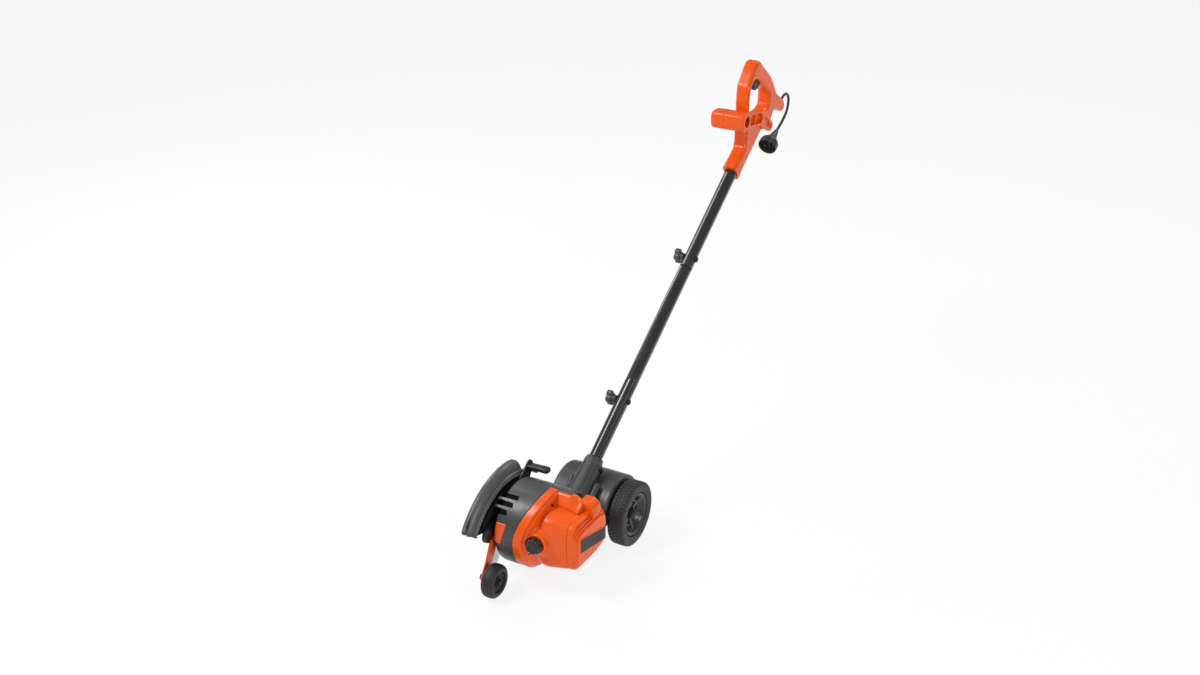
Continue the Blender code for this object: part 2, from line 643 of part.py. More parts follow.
def cooling_fan():
    """A backplate with curved blades, on the shaft between the front bearing and the windings."""
    x0, blades = -0.0440, 9
    profile = [(0.0, 0.013), (0.009, 0.013), (0.0105, 0.0020), (FAN_R, 0.0020), (FAN_R, 0.0), (0.0, 0.0)]
    plate = turned("cooling_fan", profile, (x0, *MOTOR), (1, 0, 0))
    outline = []
    for i in range(blades):
        base = i * 2 * math.pi / blades
        sides = [[], []]
        for step in range(3):
            reach = 0.0135 + (FAN_R - 0.0150) * step / 2
            t = base - 0.60 * step / 2
            half = 0.0008 / reach
            sides[0].append((reach, t - half))
            sides[1].append((reach, t + half))
        for reach, t in sides[0] + sides[1][::-1]:
            outline.append((MOTOR[0] + reach * math.cos(t), MOTOR[1] + reach * math.sin(t)))
        reach, t = 0.0100, base + math.pi / blades
        outline.append((MOTOR[0] + reach * math.cos(t), MOTOR[1] + reach * math.sin(t)))
    vanes = prism("fan_vanes", [outline], x0 + 0.0015, x0 + 0.0115)
    way = rod("fan_way", (x0 - 0.01, *MOTOR), (x0 + 0.03, *MOTOR), SHAFT_R + SEAT / 2, 24)
    piece(cut(join(plate, vanes), way), "armature", "black")


def stator():
    """Field laminations, with two pole faces close round the core, and the two brush holders."""
    outer = circle(MOTOR, STATOR_R, RING_POINTS)
    hollow = []
    for i in range(RING_POINTS):
        t = i * 2 * math.pi / RING_POINTS
        pole = abs(math.cos(t)) > 0.62
        reach = STATOR_BORE if pole else STATOR_R - 0.008
        hollow.append((MOTOR[0] + reach * math.cos(t), MOTOR[1] + reach * math.sin(t)))
    piece(prism("stator", [outer, hollow], CORE_X0 + 0.001, CORE_X1 - 0.001), "body", "steel")
    x = CORE_X1 + 0.009 + 2 * SEAT + 0.004
    for name, side in (("brush_upper", 1), ("brush_lower", -1)):
        near = MOTOR[1] + side * (0.0125 + SEAT)
        far = MOTOR[1] + side * 0.0345
        low, high = min(near, far), max(near, far)
        piece(box(name, (x, MOTOR[0] - 0.004, low), (x + 0.008, MOTOR[0] + 0.004, high)), "body", "brass")


def gear_housing():
    """A drum with a nose: outer skin from the nose to the split, and back inside to the bearing's bore."""
    bore = 0.016 + SEAT
    rings = [section(NOSE_X, SPINDLE, bore), section(NOSE_X, SPINDLE, NOSE_R - 0.001),
             section(NOSE_X + 0.001, SPINDLE, NOSE_R), section(DRUM_X - 0.0004, SPINDLE, NOSE_R),
             section(DRUM_X, DRUM, DRUM_R - 0.012), section(DRUM_X + 0.0025, DRUM, DRUM_R - 0.0045),
             section(DRUM_X + 0.008, DRUM, DRUM_R), section(SPLIT_X, DRUM, DRUM_R, 2.0, SPLIT_RISE),
             section(SPLIT_X, DRUM, DRUM_R - WALL, 2.0, SPLIT_RISE), section(DRUM_X + 0.0085, DRUM, DRUM_R - WALL),
             section(DRUM_X + 0.004, DRUM, DRUM_R - WALL - 0.006), section(DRUM_X + 0.003, SPINDLE, 0.024),
             section(DRUM_X + 0.0022, SPINDLE, bore)]
    housing = loft("gear_housing", rings, closed=True)
    for angle, end in zip(VENT_ANGLES, VENT_ENDS):
        t = math.radians(angle)
        middle = Vector((0.0, DRUM[0] + DRUM_R * math.cos(t), DRUM[1] + DRUM_R * math.sin(t)))
        half = Vector((0.0, VENT_W / 2, 0.0115))
        low, high = middle - half, middle + half
        low.x, high.x = DRUM_X - 0.001, end
        cut(housing, box("vent", low, high, angle - 90))
    piece(housing, "body", "dark")


COVER_RINGS = [
    (SPLIT_X + SEAT, DRUM, DRUM_R, 2.0, SPLIT_RISE, 1.0), (-0.0270, DRUM, 0.0862, 2.0, SPLIT_RISE, 1.0),
    (-0.0225, DRUM, 0.0835, 2.0, 0.028, 1.0), (-0.0205, DRUM, 0.0765, 2.1, 0.024, 1.0),
    (-0.0120, BARREL, 0.0700, 2.3, 0.014, 1.0), (0.0, BARREL, 0.0640, 2.8, 0.006, 1.0),
    (0.016, BARREL, BARREL_HALF, 3.4, 0.001, 1.01), (SEAM_X, BARREL_END, END_HALF, 3.6, 0.0, END_WIDE)]


COVER_RAIL = [(-0.1720, 0.1650), (-0.1720, 0.1860), (-0.1660, 0.1910), (-0.1410, 0.1845), (-0.1270, 0.1690),
              (-0.1270, 0.1500)]


def motor_cover():
    """The orange cover: a flange as wide as the drum that draws in to a squarish, tapering barrel."""
    cover = loft("motor_cover", shell_rings(COVER_RINGS, WALL), closed=True)
    rail = prism("cover_rail", [COVER_RAIL], -0.0080, SEAM_X - 0.0010)
    block = box("cover_block", (0.0400, -0.1600, 0.1685), (0.0700, -0.1280, 0.1885), 0.0, 0.003)
    boss = rod("knob_boss", (KNOB_X, -0.240, KNOB_Z), (KNOB_X, KNOB_FACE - 0.0025, KNOB_Z), KNOB_R + 0.0035)
    pocket = prism("knob_pocket", [circle((KNOB_X, KNOB_Z), KNOB_R + 0.0015, 24, 5.0)], -KNOB_FACE, 0.30,
                   plane=FRONT_PLANE)
    rib = section(0.0, BARREL, 0.0610, 3.0)
    bulkhead = prism("stator_seat", [[(y, z) for _, y, z in rib], circle(MOTOR, STATOR_R + SEAT, RING_POINTS)],
                     0.0062, 0.0098)
    stud_way = rod("stud_way", (KNOB_X, -0.30, KNOB_Z), (KNOB_X, -0.22, KNOB_Z), 0.003 + SEAT, 16)
    piece(cut(join(cover, rail, block, boss, bulkhead), pocket, stud_way), "body", "orange")


def motor_end_cap():
    """The stepped cap over the motor's end, with the seat of the rear bearing inside."""
    steps = [(END_X, 0.0440), (END_X - 0.0020, 0.0475), (0.0735, 0.0503), (0.0735, 0.0488),
             (0.0700, 0.0492), (0.0700, 0.0520), (0.0650, 0.0526), (0.0650, 0.0508), (0.0618, 0.0512),
             (0.0618, 0.0536), (SEAM_X + SEAT, END_HALF)]
    steps += [(SEAM_X + SEAT, END_HALF - WALL), (0.0700, 0.0462), (END_X - WALL, 0.0410)]
    rings = [section(x, BARREL_END, half, 3.6, 0.0, END_WIDE) for x, half in steps]
    cap = loft("motor_end_cap", rings, closed=False)
    seat = rod("rear_seat", (0.0665, *MOTOR), (END_X - 0.0015, *MOTOR), 0.0140, SIDES, 0.011 + SEAT)
    piece(join(cap, seat), "body", "orange")
    panel = [(-0.2250, 0.1040), (-0.1720, 0.0885), (-0.1380, 0.0840), (-0.1380, 0.1115), (-0.1720, 0.1210),
             (-0.2220, 0.1370)]
    piece(prism("end_panel", [panel], END_X + SEAT, END_X + 0.0020, 0.0006), "body", "black")


def clamp_knob():
    """A lobed knob on a stud, turning in the boss at the front of the cover."""
    lobes, count = 8, 32
    outline = []
    for i in range(count):
        t = i * 2 * math.pi / count
        reach = KNOB_R - 0.0016 * (0.5 - 0.5 * math.cos(lobes * t)) ** 2
        outline.append((KNOB_X + reach * math.cos(t), KNOB_Z + reach * math.sin(t)))
    face = -KNOB_FACE + SEAT
    head = prism("clamp_knob", [outline], face, face + 0.0150, 0.0025, 1, FRONT_PLANE)
    stud = rod("clamp_stud", (KNOB_X, -face - 0.006, KNOB_Z), (KNOB_X, KNOB_FACE + 0.016, KNOB_Z), 0.003, 16)
    piece(join(head, stud), "clamp_knob", "black")


def arc_points(centre, radius, span, count, x):
    t = np.radians(np.linspace(*span, count))
    return np.stack([x + 0 * t, centre[0] + radius * np.cos(t), centre[1] + radius * np.sin(t)], axis=1)


def blade_guard():
    """The hood: a crowned band between its rim arc and inner edge, on a side plate that seats on the nose."""
    count = 18
    rim = arc_points(RIM_CENTRE, RIM_R, RIM_SPAN, count, RIM_X)
    edge = arc_points(EDGE_CENTRE, EDGE_R, EDGE_SPAN, count, EDGE_X)
    hub = np.array([NOSE_X - SEAT, *SPINDLE])
    inward = hub - edge
    inward[:, 0] = 0.0
    inward /= np.linalg.norm(inward, axis=1)[:, None]
    columns = [rim + inward * 0.004]
    for share in (0.0, 0.22, 0.5, 0.78, 1.0):
        swell = math.sin(math.pi * share) * HOOD_CROWN
        columns.append(rim * (1 - share) + edge * share - inward * swell)
    plate_x = NOSE_X - SEAT
    step = edge + inward * 0.004
    step[:, 0] = plate_x
    columns.append(step)
    collar = hub - inward * 0.013
    collar[:, 0] = plate_x
    columns.append(collar)
    grid = np.stack(columns, axis=1)
    wide = grid.shape[1]
    faces = [(i * wide + j, (i + 1) * wide + j, (i + 1) * wide + j + 1, i * wide + j + 1)
             for i in range(count - 1) for j in range(wide - 1)]
    mesh = bpy.data.meshes.new("blade_guard")
    mesh.from_pydata(grid.reshape(-1, 3).tolist(), [], faces)
    mesh.shade_smooth()
    hood = mesh_object("blade_guard", mesh)
    wall = hood.modifiers.new("wall", "SOLIDIFY")
    wall.thickness = HOOD_T
    wall.offset = -1.0
    wall.use_even_offset = True
    piece(hood, "body", "hood")


def deck_outline(inset):
    """The deck's side view: a low apron to the head, then round over the axle, open side down."""
    top = circle((0.0, WHEEL_R), FENDER_R - inset, 14, 152, -164)
    front = [(-0.150, 0.068 + inset), (-0.150, 0.1000 - inset), (-0.090, 0.1015 - inset)]
    return front + top + [(0.040, 0.050 + inset), (-0.090, 0.058 + inset)]


def deck():
    """Wheel deck: a round fender over the axle with an apron cut to the head, and the pole's socket on top."""
    cover = prism("rear_deck", [deck_outline(0.0)], -DECK_HALF, DECK_HALF, 0.004, 1)
    low, top = along_pole(SOCKET_FROM), along_pole(-0.002)
    height = (top - low).length
    profile = [(0.0, height), (SOCKET_R, height), (SOCKET_R + 0.001, height - 0.004), (0.0245, 0.045),
               (SOCKET_FOOT_R, 0.0), (0.0, 0.0)]
    socket = turned("pole_socket", profile, low, POLE_AXIS)
    hollow = prism("deck_hollow", [deck_outline(DECK_WALL)], -DECK_HALF + DECK_WALL, DECK_HALF - DECK_WALL)
    floor = box("deck_floor", (-DECK_HALF + DECK_WALL, -0.140, 0.03), (DECK_HALF - DECK_WALL, 0.066, 0.080))
    head = [section(x, centre, half + SEAT, power, rise, wide) for x, centre, half, power, rise, wide in COVER_RINGS]
    drum = [section(DRUM_X, DRUM, DRUM_R + SEAT), section(SPLIT_X + 0.0002, DRUM, DRUM_R + SEAT, 2.0, SPLIT_RISE)]
    head_space = loft("head_space", drum + head[1:], closed=False)
    rail_space = box("rail_space", (-0.02, -0.175, 0.145), (0.08, -0.1265, 0.20))
    axle_way = rod("axle_way", (-0.1, 0, WHEEL_R), (0.1, 0, WHEEL_R), AXLE_R + SEAT)
    tube_way = rod("tube_way", along_pole(LOWER_FROM - SEAT), along_pole(0.05), TUBE_R + SEAT)
    band = circle((0.0, WHEEL_R), FENDER_R, 14, 152, -164) + circle((0.0, WHEEL_R), FENDER_R - FENDER_T, 14, -12, 164)
    cut(cover, hollow, floor)
    join(cover, prism("left_fender", [band], FENDER_LEFT, -DECK_HALF + 0.0035), socket)
    cut(cover, head_space, rail_space, axle_way, tube_way)
    piece(cover, "body", "dark")


def tube_profile(outer, wall, length, low_neck=0.0, high_neck=0.0, neck=NECK_R):
    """A tube's wall as a closed profile, with drawn-in ends where it has them."""
    slope = 0.003
    out = [(neck if high_neck else outer, length)]
    if high_neck:
        out += [(neck, length - high_neck), (outer, length - high_neck - slope)]
    if low_neck:
        out += [(outer, low_neck + slope), (neck, low_neck)]
    out.append((neck if low_neck else outer, 0.0))
    return out + [(r - wall, h) for r, h in reversed(out)]


def pole():
    """Lower, middle and upper tube; the middle one's necks sit inside the others, with a bolt through both."""
    middle_from, middle_to = LOWER_TO - NECK_IN, UPPER_FROM + NECK_IN
    spans = (("lower_tube", LOWER_FROM, LOWER_TO, 0.0, 0.0), ("upper_tube", UPPER_FROM, UPPER_TO, 0.0, 0.0),
             ("middle_tube", middle_from, middle_to, NECK_IN + SEAT, NECK_IN + SEAT))
    holes = {"lower_tube": (LOWER_BOLT,), "middle_tube": (LOWER_BOLT, UPPER_BOLT), "upper_tube": (UPPER_BOLT,)}
    for name, start, end, low, high in spans:
        profile = tube_profile(TUBE_R, TUBE_WALL, end - start, low, high)
        tube = turned(name, profile, along_pole(start), POLE_AXIS, SIDES, loop=True)
        for at in holes[name]:
            cut(tube, rod("bolt_hole", along_pole(at, x=POLE_X - 0.03), along_pole(at, x=POLE_X + 0.03),
                          BOLT_R + SEAT, 12))
        piece(tube, "body", "tube")


def wing_outline(at):
    """Two broad wings and two short ones round the bolt, as one smooth closed line."""
    points = []
    for i in range(20):
        t = i * 2 * math.pi / 20
        reach = 0.0105 + (WING_R - 0.0105) * math.cos(t) ** 4 + 0.0015 * math.sin(t) ** 4
        turn = t + math.radians(POLE_ANGLE + 62)
        points.append((at.y + reach * math.cos(turn), at.z + reach * math.sin(turn)))
    return points


def pole_clamps():
    """At each tube joint a carriage bolt through the tubes, with a winged knob on its threaded end."""
    for name, at in (("lower", LOWER_BOLT), ("upper", UPPER_BOLT)):
        centre = along_pole(at)
        seat = POLE_X - TUBE_R - SEAT
        knob = prism(name + "_knob", [wing_outline(centre)], seat - 0.022, seat - 0.008, 0.003, 1)
        collar = turned(name + "_collar", [(0.0, 0.010), (0.0085, 0.010), (0.0095, 0.0), (0.0, 0.0)],
                        (seat - 0.0101, centre.y, centre.z), (1, 0, 0))
        collar.location.x = seat - 0.0100
        way = rod(name + "_thread", (seat - 0.018, centre.y, centre.z), (seat + 0.01, centre.y, centre.z),
                  BOLT_R + SEAT, 16)
        piece(cut(join(knob, collar), way), name + "_knob", "black")
        start = seat - 0.0165
        head = POLE_X + TUBE_R + SEAT - start
        profile = [(0.0, head + 0.0042), (0.0035, head + 0.0038), (0.0062, head + 0.0018), (0.0068, head),
                   (BOLT_R, head), (BOLT_R, 0.0005), (BOLT_R - 0.0005, 0.0), (0.0, 0.0)]
        bolt = turned(name + "_bolt", profile, (start, centre.y, centre.z), (1, 0, 0), 24)
        piece(bolt, "body", "steel")


def smooth_loop(points, steps=2):
    """A closed curve through the points: Catmull-Rom, so it passes through each of them."""
    made = []
    count = len(points)
    for i in range(count):
        p = [Vector(points[(i + k - 1) % count]) for k in range(4)]
        for step in range(steps):
            t = step / steps
            made.append(tuple(0.5 * (2 * p[1] + (p[2] - p[0]) * t + (2 * p[0] - 5 * p[1] + 4 * p[2] - p[3]) * t ** 2
                                     + (3 * p[1] - p[0] - 3 * p[2] + p[3]) * t ** 3)))
    return made


def socket_point(distance, off):
    at = along_pole(distance, off)
    return (at.y, at.z)


HANDLE_OUTLINE = [
    socket_point(HANDLE_FROM - 0.020, -0.0175), socket_point(0.800, -0.0190), socket_point(0.850, -0.0240),
    (0.7620, 0.6560), (0.8020, 0.6700), (0.8380, 0.6840), (0.8650, 0.6865), (0.8915, 0.6865), (0.9021, 0.6909),
    (0.9065, 0.7015), (0.9013, 0.7128), (0.8850, 0.7320), (0.8420, 0.7720), (0.7960, 0.8120), (0.7560, 0.8420), (0.7210, 0.8460),
    (0.6880, 0.8260), (0.6680, 0.7940), (0.6640, 0.7580), (0.6660, 0.7200), (0.6720, 0.6870),
    socket_point(0.842, 0.0220), socket_point(0.800, 0.0190), socket_point(HANDLE_FROM - 0.020, 0.0175)]

HANDLE_HOLE = [
    (0.6950, 0.7150), (0.7250, 0.7080), (0.7620, 0.7160), (0.8000, 0.7200), (0.8180, 0.7320), (0.8060, 0.7560),
    (0.7760, 0.7820), (0.7420, 0.8030), (0.7130, 0.8060), (0.6940, 0.7880), (0.6870, 0.7560)]


def handle_half(name, side):
    """One moulded half: the bevelled outline, cut at the seam and given its wall from outside in."""
    outer, hole = smooth_loop(HANDLE_OUTLINE), smooth_loop(HANDLE_HOLE)
    form = prism(name, [outer, hole], POLE_X - HANDLE_HALF, POLE_X + HANDLE_HALF, HANDLE_ROUND, 1)
    work = bmesh.new()
    work.from_mesh(form.data)
    work.transform(form.matrix_world)
    form.matrix_world = Matrix.Identity(4)
    seam = POLE_X + side * SEAT / 2
    for at, normal in (((seam, 0, 0), (side, 0, 0)), (along_pole(HANDLE_FROM), POLE_AXIS)):
        bmesh.ops.bisect_plane(work, geom=work.verts[:] + work.edges[:] + work.faces[:], dist=0.000001,
                               plane_co=at, plane_no=normal, clear_inner=True)
    work.to_mesh(form.data)
    work.free()
    form.data.shade_smooth()
    wall = form.modifiers.new("wall", "SOLIDIFY")
    wall.thickness = HANDLE_WALL
    wall.offset = -1.0
    wall.use_even_offset = True
    tube_way = rod(name + "_tube_way", along_pole(0.70), along_pole(UPPER_TO + SEAT), TUBE_R + SEAT)
    cord_way = rod(name + "_cord_way", gland_at(0.002), gland_at(0.04), GLAND_R + SEAT)
    trigger_way = box(name + "_trigger_way", (POLE_X - 0.0062, 0.712, 0.775), (POLE_X + 0.0062, 0.770, 0.813))
    bolt_way = rod(name + "_bolt_way", (POLE_X - 0.03, *AUX_BOLT), (POLE_X + 0.03, *AUX_BOLT), BOLT_R + SEAT, 16)
    return cut(form, tube_way, cord_way, trigger_way, bolt_way)


def handle():
    piece(handle_half("handle_left", -1), "body", "orange")
    piece(handle_half("handle_right", 1), "body", "orange")


def aux_handle():
    """The front bar, saddled on the handle's leg, with an arm back to a bolt through the handle."""
    middle = (AUX_Y, AUX_Z)
    spans = [(AUX_LEFT, 0.0140), (AUX_LEFT + 0.0010, 0.0180), (AUX_LEFT + 0.0040, 0.0202), (-0.0360, 0.0210),
             (-0.0355, 0.0200), (-0.0340, 0.0206), (AUX_RIGHT - 0.0015, AUX_R - 0.0012),
             (AUX_RIGHT, AUX_R - 0.0027)]
    bar = loft("aux_handle", [section(x, middle, half, 3.2, 0.0, 1.0, 20) for x, half in spans], closed=False)
    side = POLE_X + HANDLE_HALF + SEAT
    arm = prism("aux_arm", [strap(middle, AUX_R - 0.0030, AUX_BOLT, 0.0120)], side, AUX_RIGHT - 0.0020, 0.0015)
    hollow = rod("aux_hollow", (AUX_LEFT + 0.012, *middle), (AUX_RIGHT + 0.01, *middle), 0.0120)
    saddle = prism("aux_saddle", [smooth_loop(HANDLE_OUTLINE)], POLE_X - HANDLE_HALF - SEAT, side)
    saddle.location.y -= SEAT
    way = rod("aux_bolt_way", (POLE_X, *AUX_BOLT), (POLE_X + 0.05, *AUX_BOLT), BOLT_R + SEAT, 16)
    piece(cut(join(bar, arm), hollow, saddle, way), "body", "orange")
    start = POLE_X - HANDLE_HALF + 0.001
    face = AUX_RIGHT - 0.0020 + SEAT - start
    profile = [(0.0, face + 0.0035), (0.0042, face + 0.0033), (0.0060, face + 0.0018), (0.0064, face),
               (BOLT_R, face), (BOLT_R, 0.0005), (BOLT_R - 0.0005, 0.0), (0.0, 0.0)]
    piece(turned("aux_bolt", profile, (start, *AUX_BOLT), (1, 0, 0), 24), "body", "black")


def trigger():
    """Trigger on trunnions between the handle's halves, its spring, and the switch behind it."""
    blade = prism("trigger", [TRIGGER_OUTLINE], POLE_X - 0.0055, POLE_X + 0.0055, 0.0015)
    reach = HANDLE_HALF - HANDLE_WALL - SEAT
    pin = rod("trigger_pin", (POLE_X - reach, *TRIGGER_PIVOT), (POLE_X + reach, *TRIGGER_PIVOT), 0.003, 16)
    piece(join(blade, pin), "trigger", "black")
    piece(coil("trigger_spring", SPRING_FOOT, SPRING_HEAD), "body", "steel")
    half = Vector((reach, 0.013, 0.0062))
    centre = Vector((POLE_X, *SWITCH_AT))
    piece(box("switch_body", centre - half, centre + half, -41), "body", "black")


def tube_along(name, points, radius, resolution):
    """A round bar of this radius along a polyline, its ends capped."""
    curve = bpy.data.curves.new(name, "CURVE")
    curve.dimensions = "3D"
    curve.bevel_depth = radius
    curve.bevel_resolution = resolution
    curve.use_fill_caps = True
    spline = curve.splines.new("POLY")
    spline.points.add(len(points) - 1)
    for point, at in zip(spline.points, points):
        point.co = (*at, 1.0)
    obj = bpy.data.objects.new(name, curve)
    bpy.context.scene.collection.objects.link(obj)
    made = as_mesh(obj)
    made.data.shade_smooth()
    made.data.set_sharp_from_angle(angle=math.radians(50))
    return made


def coil(name, foot, head, radius=0.0030, wire=0.0005, turns=5):
    """A compression spring between two points."""
    foot, head = Vector((POLE_X, *foot)), Vector((POLE_X, *head))
    axis = (head - foot).normalized()
    side = Vector((1, 0, 0))
    other = axis.cross(side)
    points = []
    for i in range(turns * 8 + 1):
        t = math.radians(i * 45)
        share = i / (turns * 8)
        points.append(foot + (head - foot) * share + side * radius * math.cos(t) + other * radius * math.sin(t))
    return tube_along(name, points, wire, 0)


def through(points, steps):
    """An open curve through the points, evenly parted between each two."""
    ends = [[2 * a - b for a, b in zip(points[0], points[1])]] + [list(p) for p in points]
    ends.append([2 * a - b for a, b in zip(points[-1], points[-2])])
    made = []
    for i in range(len(points) - 1):
        p = [Vector(ends[i + k]) for k in range(4)]
        for step in range(steps):
            t = step / steps
            made.append(0.5 * (2 * p[1] + (p[2] - p[0]) * t + (2 * p[0] - 5 * p[1] + 4 * p[2] - p[3]) * t ** 2
                               + (3 * p[1] - p[0] - 3 * p[2] + p[3]) * t ** 3))
    return made + [Vector(points[-1])]


def gland_at(distance):
    """A point this far along the strain relief from its inner end."""
    rise = math.radians(GLAND_RISE)
    return (POLE_X, GLAND_FROM[0] + distance * math.cos(rise), GLAND_FROM[1] + distance * math.sin(rise))


def cord_and_plug():
    rise = math.radians(GLAND_RISE)
    axis = (0.0, math.cos(rise), math.sin(rise))
    radius = CORD_D / 2
    relief = [(0.0, GLAND_LENGTH), (radius + 0.0006, GLAND_LENGTH), (radius + 0.0010, GLAND_LENGTH - 0.003),
              (GLAND_R - 0.0004, 0.013), (GLAND_R, 0.012), (GLAND_R, 0.0), (0.0, 0.0)]
    piece(turned("cord_gland", relief, gland_at(0.0), axis, 24), "body", "black")
    route = [gland_at(GLAND_LENGTH + SEAT), gland_at(GLAND_LENGTH + 0.009)]
    route += [(POLE_X, y, z) for y, z in CORD_ROUTE]
    piece(tube_along("power_cord", through(route, 2), radius, 3), "body", "black")

    end, before = Vector(route[-1]), Vector(route[-2])
    aim = (end - before).normalized()
    foot = end + aim * SEAT
    length = PLUG_LENGTH
    body = [(0.0, length - PLUG_RECESS), (PLUG_R - 0.0026, length - PLUG_RECESS), (PLUG_R - 0.0026, length),
            (PLUG_R - 0.0004, length), (PLUG_R, length - 0.0006), (PLUG_R, length - 0.015),
            (PLUG_R - 0.0014, length - 0.019), (0.0155, length - 0.0245), (0.0122, length - 0.031),
            (0.0100, length - 0.034), (0.0072, 0.014), (0.0052, 0.0008), (0.0046, 0.0), (0.0, 0.0)]
    piece(turned("plug_body", body, foot, aim), "body", "black")
    floor = foot + aim * (length - PLUG_RECESS + SEAT)
    for name, side in (("plug_blade_left", -1), ("plug_blade_right", 1)):
        pin = box(name, (-0.0008, -0.0032, 0.0), (0.0008, 0.0032, PLUG_RECESS - 0.0015))
        pin.location = floor + aim * (PLUG_RECESS - 0.0015) / 2 + Vector((side * 0.0064, 0.0, 0.0))
        piece(turn_to(pin, aim), "body", "brass")


def main():
    rear_wheels()
    front_wheel()
    depth_arm()
    gear_drive()
    blade_set()
    bearings()
    gearcase_plate()
    armature()
    stator()
    gear_housing()
    motor_cover()
    motor_end_cap()
    clamp_knob()
    blade_guard()
    deck()
    pole()
    pole_clamps()
    handle()
    aux_handle()
    trigger()
    cord_and_plug()


clear_scene()
PARTS = collection("lawn_edger")
TOOLS = collection("cutters")
FRAMES = {}
for body_name, joint_at in BODIES.items():
    frame = bpy.data.objects.new(body_name + "_frame", None)
    bpy.context.scene.collection.objects.link(frame)
    frame.location = (-X_MID, -Y_MID, 0.0)
    if body_name != "body":
        frame.parent = FRAMES["body"]
        frame.location = joint_at
    FRAMES[body_name] = frame
main()
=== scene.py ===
"""Looks of a corded electric lawn edger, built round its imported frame.

Lengths are metres. Points are written in the axle frame, whose origin is on the ground under the middle of the
rear axle, and SHIFT carries them to the frame of the part. The edger travels towards -Y, its blade is at -X.
"""
import json
import math

import bmesh
import bpy
import numpy as np
from bpy.props import FloatProperty, FloatVectorProperty, IntProperty, PointerProperty
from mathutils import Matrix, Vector
from mathutils.geometry import tessellate_polygon

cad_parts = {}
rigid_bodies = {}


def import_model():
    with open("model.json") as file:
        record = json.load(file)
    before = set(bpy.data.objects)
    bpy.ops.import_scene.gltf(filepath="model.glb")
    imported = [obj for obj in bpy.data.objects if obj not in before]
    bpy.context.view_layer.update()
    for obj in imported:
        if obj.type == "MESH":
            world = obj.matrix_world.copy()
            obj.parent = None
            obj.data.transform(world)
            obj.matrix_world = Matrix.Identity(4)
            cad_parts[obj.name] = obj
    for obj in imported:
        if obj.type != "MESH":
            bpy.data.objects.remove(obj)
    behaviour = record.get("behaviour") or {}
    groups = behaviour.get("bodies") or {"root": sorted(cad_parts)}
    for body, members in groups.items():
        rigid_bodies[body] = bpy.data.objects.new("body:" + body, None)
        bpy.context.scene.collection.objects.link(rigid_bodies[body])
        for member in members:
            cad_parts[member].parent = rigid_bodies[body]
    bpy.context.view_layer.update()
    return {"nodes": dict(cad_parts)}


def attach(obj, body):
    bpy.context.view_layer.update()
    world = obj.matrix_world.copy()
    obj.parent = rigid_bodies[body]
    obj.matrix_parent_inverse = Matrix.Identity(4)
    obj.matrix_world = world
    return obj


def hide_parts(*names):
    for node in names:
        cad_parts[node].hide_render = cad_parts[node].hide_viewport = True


bl_info = {
    "name": "Lawn edger looks",
    "version": (1, 0, 0),
    "blender": (4, 5, 0),
    "location": "3D view > Sidebar > Edger",
    "description": "Builds the visible pieces and finishes of a lawn edger on its frame",
    "category": "Object",
}

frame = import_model()

SHIFT = np.array((0.0223, -0.28585, 0.0))
SEAT = 0.0003  # the gap between pieces that rest on each other, as in the part
WHEEL_R, WHEEL_W, TRACK, TYRE_BORE = 0.070, 0.034, 0.1408, 0.048
FRONT_AT, FRONT_R, FRONT_W = (-0.072, -0.303, 0.0353), 0.0353, 0.028
SPINDLE, DRUM, DRUM_R, DRUM_X = (-0.204, 0.103), (-0.187, 0.113), 0.087, -0.093
BARREL, BARREL_END, END_X, SEAM_X = (-0.186, 0.113), (-0.180, 0.113), 0.082, 0.058
SPLIT_X, SPLIT_RISE = -0.047, 0.030
KNOB_X, KNOB_Z = -0.0013, 0.1187
POLE_X, POLE_Z, POLE_ANGLE = -0.0137, 0.1764, math.radians(34.3)
LOWER_BOLT, UPPER_BOLT, TUBE_R, TUBE_WALL = 0.144, 0.521, 0.0143, 0.0013
LEVER_X, LEVER_TIP, LEVER_FRONT = -0.102, (-0.1200, 0.1975), (-0.2815, 0.1215)
HANDLE_HALF, HANDLE_FROM, AUX_BOLT = 0.0165, 0.764, (0.7900, 0.6790)
X_AXIS = np.array((1.0, 0.0, 0.0))
POLE_AXIS = np.array((0.0, math.cos(POLE_ANGLE), math.sin(POLE_ANGLE)))
POLE_FACE = np.array((0.0, -math.sin(POLE_ANGLE), math.cos(POLE_ANGLE)))


def unit(vectors):
    """Each vector divided by its length."""
    return vectors / np.maximum(np.linalg.norm(vectors, axis=-1, keepdims=True), 1e-12)


def ease(low, high, value):
    """0 at low, 1 at high, and 3t^2 - 2t^3 between; low may be the larger."""
    t = np.clip((value - low) / (high - low), 0.0, 1.0)
    return t * t * (3 - 2 * t)


def window(value, middle, half, soft):
    """1 within half of the middle, falling smoothly to 0 over soft."""
    return 1 - ease(half, half + soft, np.abs(value - middle))


def along_pole(distance, off=0.0, x=POLE_X):
    """A point this far up the pole, and this far off its middle line towards the front and up."""
    return np.array((x, 0.0, POLE_Z)) + distance * POLE_AXIS + off * POLE_FACE


